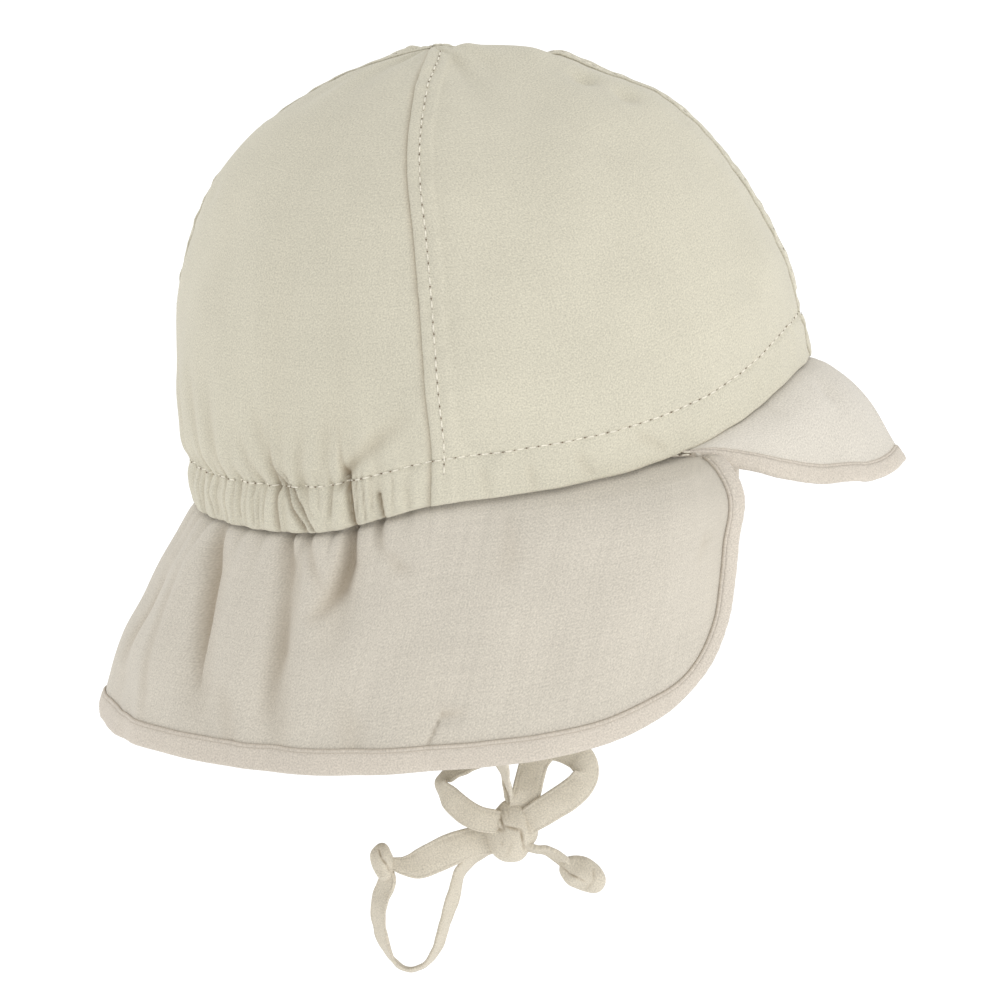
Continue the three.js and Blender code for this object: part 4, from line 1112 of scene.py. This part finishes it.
def flap_inset(width):
    """Edge of the flap set in by a width, as angles and heights."""
    low = np.maximum(np.arange(len(flap_end)) - 2, 0)
    high = np.minimum(np.arange(len(flap_end)) + 2, len(flap_end) - 1)
    after, before = (flap_point(flap_end + half, flap_height, False) for half in (0.5, -0.5))
    degree = np.linalg.norm(after - before, axis=-1)
    along = (flap_end[high] - flap_end[low]) * degree
    rising = flap_height[high] - flap_height[low]
    length = np.hypot(along, rising)
    return flap_end - rising / length * width / degree, flap_height + along / length * width


def flap_rows():
    """Rows of the flap from its seam inside the hem down to its edge."""
    rows = [
        crown_point(flap_top, turn_at(flap_top, height), flap_tuck_depth(flap_top), False)
        for height in np.linspace(hem_tuck, 0.3 * MM, hidden_rows)
    ]
    start = rim_height(flap_top) - 0.2 * MM
    inset_angle, inset_height = flap_inset(1.0 * MM)
    for share in np.linspace(0.01, 1, hanging_rows):
        angle = flap_top + (inset_angle - flap_top) * share
        height = start + (inset_height - start) * share
        rows.append(flap_point(angle, height))
    rows.append(flap_point(flap_end, flap_height))
    return np.array(rows)


def sheet_normals(points):
    return unit(np.cross(np.gradient(points, axis=0), np.gradient(points, axis=1)))


flap_points = flap_rows()
flap_normals = sheet_normals(flap_points)


def even_chart(points):
    """Map of a sheet laid flat: straight yarns, spaced by its edges and its rows."""
    down = lengths_down(points)
    down = (down / down[-1]).mean(axis=1)[:, None] * down[-1][None, :]
    across = lengths_along(points)
    share = np.linspace(0, 1, len(points))[:, None]
    across = across[0] + (across[-1] - across[0]) * share
    across = across - across[:, across.shape[1] // 2][:, None]
    return np.stack((across, -down), axis=-1)


# Painted shade in the flap's sharper creases and, fainter, in its broad folds.
hanging = np.array([flap_top + (flap_end - flap_top) * share for share in np.linspace(0, 1, len(flap_points))])
hanging_drop = np.maximum(flap_drop(hanging, flap_points[..., 2]), 0)
broad_folds = np.clip(flap_fold_at(near_side(hanging), hanging_drop) / flap_fold_depth, 0, 1)
flap_painted_shade = np.clip(flap_creases(hanging, flap_points[..., 2]) / (2.4 * MM), 0, 1) * 0.5 + broad_folds * 0.12
flap_chart = even_chart(flap_points)
neck_flap = laid_grid("neck_flap_cloth", flap_points, flap_chart, flap_painted_shade, flap_normals, flap_cotton)
thicken(neck_flap, flap_cloth, 0)
dress(neck_flap, "neck_flap")

# Bindings
# A bias strip of cotton is folded over the raw edge of the flap and of the peak, turned
# under on both faces and sewn through beside its inner edge, which ripples it a little.
flap_binding_width = 5 * MM
front_binding = 0.66  # its width at the front corners, as a share
peak_binding_width = 3.6 * MM
binding_colour = (0.590, 0.535, 0.460, 1)
binding_cotton = cotton("binding cotton", binding_colour, slub=0.3, mottle=0.12, bump=0.3)
pucker_pitch, pucker_share = 3.3 * MM, 0.16
binding_cloth = 0.4 * MM
stitch_place = 0.86  # where it is sewn through, as a share of its width
# Section of a binding: inward from the edge as a share of its width, lift in millimetres
binding_rows = table(
    "inward lift",
    (1.0, 0.36), (0.985, 0.62), (0.93, 0.70), (0.86, 0.52), (0.80, 0.72), (0.66, 0.88), (0.48, 0.94),
    (0.28, 0.94), (0.12, 0.90), (0.0, 0.82), (-0.08, 0.64), (-0.13, 0.36), (-0.145, 0.0),
)


def binding(node, inset, normals, width, seed):
    """Strip folded over an edge: inset gives the cloth's points at a width from it."""
    inward = np.concatenate((binding_rows["inward"], binding_rows["inward"][-2::-1]))
    lift = np.concatenate((binding_rows["lift"], -binding_rows["lift"][-2::-1])) * MM
    rows = []
    edge = inset(0.0)
    walked = lengths_along(edge)
    for share, rise in zip(inward, lift):
        at = inset(share * width) if share > 0 else edge + (edge - inset(0.3 * width)) / 0.3 * -share
        waves = 2 * math.pi * (walked / pucker_pitch + share * 0.8) + ripple(edge, 20 * MM, seed) * 3
        pucker = 1 + pucker_share * np.sin(waves)
        rows.append(at + normals * (rise * np.where(abs(share) < 0.98, pucker, 1))[:, None])
    points = np.array(rows)
    around = lengths_down(points)
    chart = np.stack((np.broadcast_to(walked, around.shape), around), axis=-1)
    # Painted shade along the stitching and at the turned-under inner edge of the strip.
    dark = bell(inward - stitch_place, 0.03) * 0.25 + bell(inward - 1, 0.02) * 0.4
    dark = np.broadcast_to(dark[:, None], around.shape)
    out = np.broadcast_to(normals, points.shape) * np.sign(lift)[:, None, None]
    piece = laid_grid(node + "_strip", points, chart, dark, out, binding_cotton)
    thicken(piece, binding_cloth)
    return dress(piece, node)


def flap_at(width):
    narrow = front_binding + (1 - front_binding) * smoothstep(near_side(flap_end), 50, 66)
    angle, height = flap_inset(width * narrow)
    return flap_point(angle, height)


edge_normals = unit(flap_normals[-2])
flap_binding = binding("flap_binding", flap_at, edge_normals, flap_binding_width, seed=41)

# Peak
# A short soft peak of two layers of the crown's cotton, seamed inside the front of the
# hem. It arches over the brow and falls forward to its bound edge.
peak_tuck = casing_wall + tuck_gap + peak_wall / 2  # its middle's depth inside the hem
peak_length = 26.7 * MM
peak_spread = 5 * MM
peak_fall = 26.5 * MM
peak_bulge = 3.6 * MM
peak_seam_drop = 1 * MM
peak_forward = 2.4 * MM  # how far its root comes forward under the hem, to lie flush
peak_rise = 0.45 * MM
run_on_step, run_on_sink = 1.3, 0.16  # millimetres that its binding runs on and sinks
peak_ripples = ((26 * MM, 0.6 * MM, 51), (10 * MM, 0.16 * MM, 52))
peak_cloth = 1.3 * MM
least_inset = 0.2
# The crown's cotton, its colour set lighter as painted light, since the peak catches more light.
peak_lit_colour = (0.620, 0.582, 0.512, 1)
peak_cotton = cotton("peak cotton", peak_lit_colour)
peak_rows = table(
    "place across reach fall",
    (0, 0, 1, 0.97),
    (0.119, 0.2, 0.966, 0.98),
    (0.21, 0.46, 0.888, 0.985),
    (0.297, 0.7, 0.785, 0.975),
    (0.4, 0.88, 0.665, 0.9),
    (0.495, 1, 0.543, 0.8),
    (0.693, 1.02, 0.338, 0.51),
    (0.861, 0.778, 0.164, 0.227),
    (1, 0.33, 0.172, 0.041),
)
peak_run = 25  # millimetres from its seam to its edge, for its hollows' lines
peak_hollow_lines = (
    ((13, 3, 2.0, 0), (15, 7, 2.4, 1.0), (14, 10.5, 2.4, 0)),
    ((30, 2.5, 2.0, 0.5), (26, 10, 2.6, 0.5), (24, 17.5, 2.4, 0)),
)


def peak_point(angle, share, detail=True):
    """Middle face of the peak at a seam angle, a share of the way to its edge."""
    place = np.abs(angle) / peak_angle()
    root = crown_point(angle, np.zeros_like(angle), peak_tuck, False)
    root[..., 2] -= peak_seam_drop
    if detail:
        root[..., 2] += peak_rise
        forward = smoothstep(share, 0, 0.1) * (1 - smoothstep(share, 0.3, 1))
        root = root + outward(angle) * (peak_forward * forward)[..., None]
    reach = np.stack((
        -np.sign(angle) * peak_spread * smooth_column(peak_rows, "place", "across", place),
        -peak_length * smooth_column(peak_rows, "place", "reach", place),
        -peak_fall * smooth_column(peak_rows, "place", "fall", place),
    ), axis=-1)
    long = np.minimum(np.linalg.norm(reach, axis=-1) / peak_length, 1)
    arch = long * np.sin(math.pi * share**0.75)
    normal = unit(outward(angle) + (0, 0, 1))
    point = root + reach * share[..., None] + normal * (peak_bulge * arch)[..., None]
    if detail:
        dents = sum(ripple(point, run, seed) * deep for run, deep, seed in peak_ripples)
        hollows = fold_depth(np.abs(angle), share * peak_run, peak_hollow_lines) * MM
        point = point + normal * (dents * smoothstep(share, 0, 0.4) - hollows)[..., None]
    return point


peak_angles = np.linspace(-peak_angle(), peak_angle(), 201)
peak_angles = np.where(peak_angles == 0, 1e-6, peak_angles)


def peak_lengths():
    tip, root = (peak_point(peak_angles, np.full_like(peak_angles, share), False) for share in (1, 0))
    return np.linalg.norm(tip - root, axis=-1)


def run_on(points):
    """Points of a strip with both ends run on under the hem."""

    def beyond(end, before, angle):
        ahead = unit(end - before)
        sink = outward(np.array(angle)) * run_on_sink
        return [end + (ahead * k * run_on_step - sink * k * k) * MM for k in range(1, 6)]

    first = beyond(points[0], points[3], -peak_angle())[::-1]
    last = beyond(points[-1], points[-4], peak_angle())
    return np.concatenate((first, points, last))


def peak_at(width):
    share = np.maximum(1 - width / peak_lengths(), least_inset)
    return run_on(peak_point(peak_angles, share))


peak_sheet = [
    crown_point(peak_angles, turn_at(peak_angles, height), peak_tuck, False)
    for height in np.linspace(hem_tuck, 0.5 * MM, hidden_rows)
]
peak_sheet += [peak_point(peak_angles, np.full_like(peak_angles, share)) for share in np.linspace(0.02, 1, 44)]
peak_points = np.array(peak_sheet)
peak_normals = sheet_normals(peak_points)
peak_chart = even_chart(peak_points)
peak = laid_grid("peak_cloth", peak_points, peak_chart, np.zeros(peak_points.shape[:2]), peak_normals, peak_cotton)
thicken(peak, peak_cloth, 0)
dress(peak, "peak")
peak_edge_normals = unit(peak_normals[-2])
peak_edge_normals = np.concatenate((peak_edge_normals[[0] * 5], peak_edge_normals, peak_edge_normals[[-1] * 5]))
binding("peak_binding", peak_at, peak_edge_normals, peak_binding_width, seed=42)

# Stitching
# Cream thread in stitches about 3 mm long: one row beside each seam, one round the top
# of the casing, and one along the inner edge of each binding.
binding_pitch = 2.6 * MM
seam_lift, casing_lift, binding_lift = 0.08 * MM, 0.10 * MM, 0.05 * MM
# Painted shade: each stitch is coloured darker towards its ends, where the thread sinks into the cloth.
stitch_shade_start = 0.72  # share of its half length from which a stitch darkens
stitch_length = 2.5 * MM
stitch_width = 0.46 * MM
stitch_height = 0.40 * MM
# The pin hole is a small flat dark dot: painted shade.
hole_size = 0.23 * MM


def stitches(points, normals, lift, pitch=stitch_pitch):
    """Places of the stitches along a line of points on the cloth."""
    walked = lengths_along(points)
    count = int(walked[-1] / pitch)
    centres = (np.arange(count) + 0.5) * walked[-1] / count

    def at(values, where):
        return np.stack([np.interp(where, walked, values[:, k]) for k in range(3)], axis=-1)

    ahead = unit(at(points, centres + stitch_length / 2) - at(points, centres - stitch_length / 2))
    up = at(normals, centres)
    up = unit(up - ahead * np.sum(up * ahead, axis=-1)[:, None])
    return at(points, centres) + up * lift, ahead, up


def one_stitch():
    """Pattern of a stitch and the pin hole after it, with painted shade at the stitch's ends and in the hole:
    across, up and ahead of it.
    """
    bm = bmesh.new()
    dark = bm.verts.layers.float.new("painted_shade")
    size = Matrix.Diagonal((stitch_width / 2, stitch_height / 2, stitch_length / 2, 1))
    for vert in bmesh.ops.create_uvsphere(bm, u_segments=6, v_segments=6, radius=1.0, matrix=size)["verts"]:
        vert[dark] = max(0.0, min(1.0, (abs(vert.co.z) / (stitch_length / 2) - stitch_shade_start) * 4))
    hole = Matrix.Translation((0, 0, stitch_pitch / 2)) @ Matrix.Diagonal((hole_size, hole_size / 3, hole_size, 1))
    for vert in bmesh.ops.create_uvsphere(bm, u_segments=6, v_segments=3, radius=1.0, matrix=hole)["verts"]:
        vert[dark] = 1.0
    mesh = bpy.data.meshes.new("stitch")
    bm.to_mesh(mesh)
    bm.free()
    return mesh


stitch = one_stitch()


def sew(name, rows):
    """One mesh of all the stitches in some rows, with painted shade where the thread goes in."""
    bm = bmesh.new()
    pattern = np.array([vert.co for vert in stitch.vertices])
    laid = []
    for centres, ahead, up in rows:
        side = np.cross(up, ahead)
        for c, a, s, u in zip(centres, ahead, side, up):
            bm.from_mesh(stitch)
            laid.append(c + pattern @ np.array((s, u, a)))
    for vert, place in zip(bm.verts, np.concatenate(laid)):
        vert.co = place
    chart = bm.loops.layers.uv.new("UVMap")
    for face in bm.faces:
        face.smooth = True
        for corner in face.loops:
            corner[chart].uv = (corner.vert.co.y, corner.vert.co.z)
    return dress(link(bm, name, thread))


def beside(seam, sign, low=4.0, high=84.0):
    """Line of a topstitch beside a seam, up the crown."""
    turns = np.linspace(low, high, 200)
    point = dome_point(np.full_like(turns, seam), turns)
    around = axis_distance(point, turns)
    angles = seam + sign * np.degrees(topstitch_inset / around)
    return crown_point(angles, turns, 0.0), crown_normal(angles, turns)


seams = [beside(seam_angle, -1), beside(360 - seam_angle, 1), beside(0, -1), beside(180, 1)]
sew("seam_stitches", [stitches(p, n, seam_lift) for p, n in seams])
round_head = np.linspace(0.5, 359.5, 1800)
casing_turns = turn_at(round_head, casing_height)
casing_line = crown_point(round_head, casing_turns, 0.0)
casing_normals = crown_normal(round_head, casing_turns)
sew("casing_stitches", [stitches(casing_line, casing_normals, casing_lift)])


def binding_stitching(name, inset, normals, width):
    """Stitches through a binding, on both of its faces."""
    dip = float(np.interp(-stitch_place, -binding_rows["inward"], binding_rows["lift"])) * MM
    line = inset(stitch_place * width)
    faces = [(line + normals * dip * face, normals * face) for face in (1, -1)]
    return sew(name, [stitches(p, n, binding_lift, binding_pitch) for p, n in faces])


binding_stitches = binding_stitching("flap_binding_stitches", flap_at, edge_normals, flap_binding_width)
binding_stitching("peak_binding_stitches", peak_at, peak_edge_normals, peak_binding_width)

# Floor and light
# The cap is held up over a plain pale floor that glows a little, under a white sky, with
# a soft lamp in front on its right and another behind it.
floor_level = -0.2
floor_half = 14.0
floor_glow, sky_strength = 0.26, 0.93


def plain_floor():
    bm = bmesh.new()
    bmesh.ops.create_grid(bm, x_segments=1, y_segments=1, size=floor_half)
    bmesh.ops.translate(bm, verts=bm.verts[:], vec=(0, 0, floor_level))
    paper = bpy.data.materials.new("pale floor")
    paper.use_nodes = True
    set_inputs(paper.node_tree.nodes["Principled BSDF"], {
        "Base Color": (0.93, 0.93, 0.93, 1), "Roughness": 0.9, "Specular IOR Level": 0.2,
        "Emission Color": (1, 1, 1, 1), "Emission Strength": floor_glow,
    })
    return link(bm, "floor", paper)


def lamp(name, place, size, power):
    light = bpy.data.lights.new(name, "AREA")
    light.shape = "DISK"
    light.size = size
    light.energy = power
    holder = bpy.data.objects.new(name, light)
    holder.location = place
    holder.rotation_mode = "QUATERNION"
    holder.rotation_quaternion = (-Vector(place)).to_track_quat("-Z", "Y")
    bpy.context.scene.collection.objects.link(holder)


plain_floor()
lamp("key lamp", (-0.95, -1.5, 0.30), size=0.5, power=7)
lamp("back lamp", (0.2, 1.7, 0.6), size=0.8, power=3.2)
sky = bpy.data.worlds.new("white sky")
sky.use_nodes = True
set_inputs(sky.node_tree.nodes["Background"], {"Color": (1, 1, 1, 1), "Strength": sky_strength})
bpy.context.scene.world = sky
bpy.context.scene.view_settings.view_transform = "Standard"
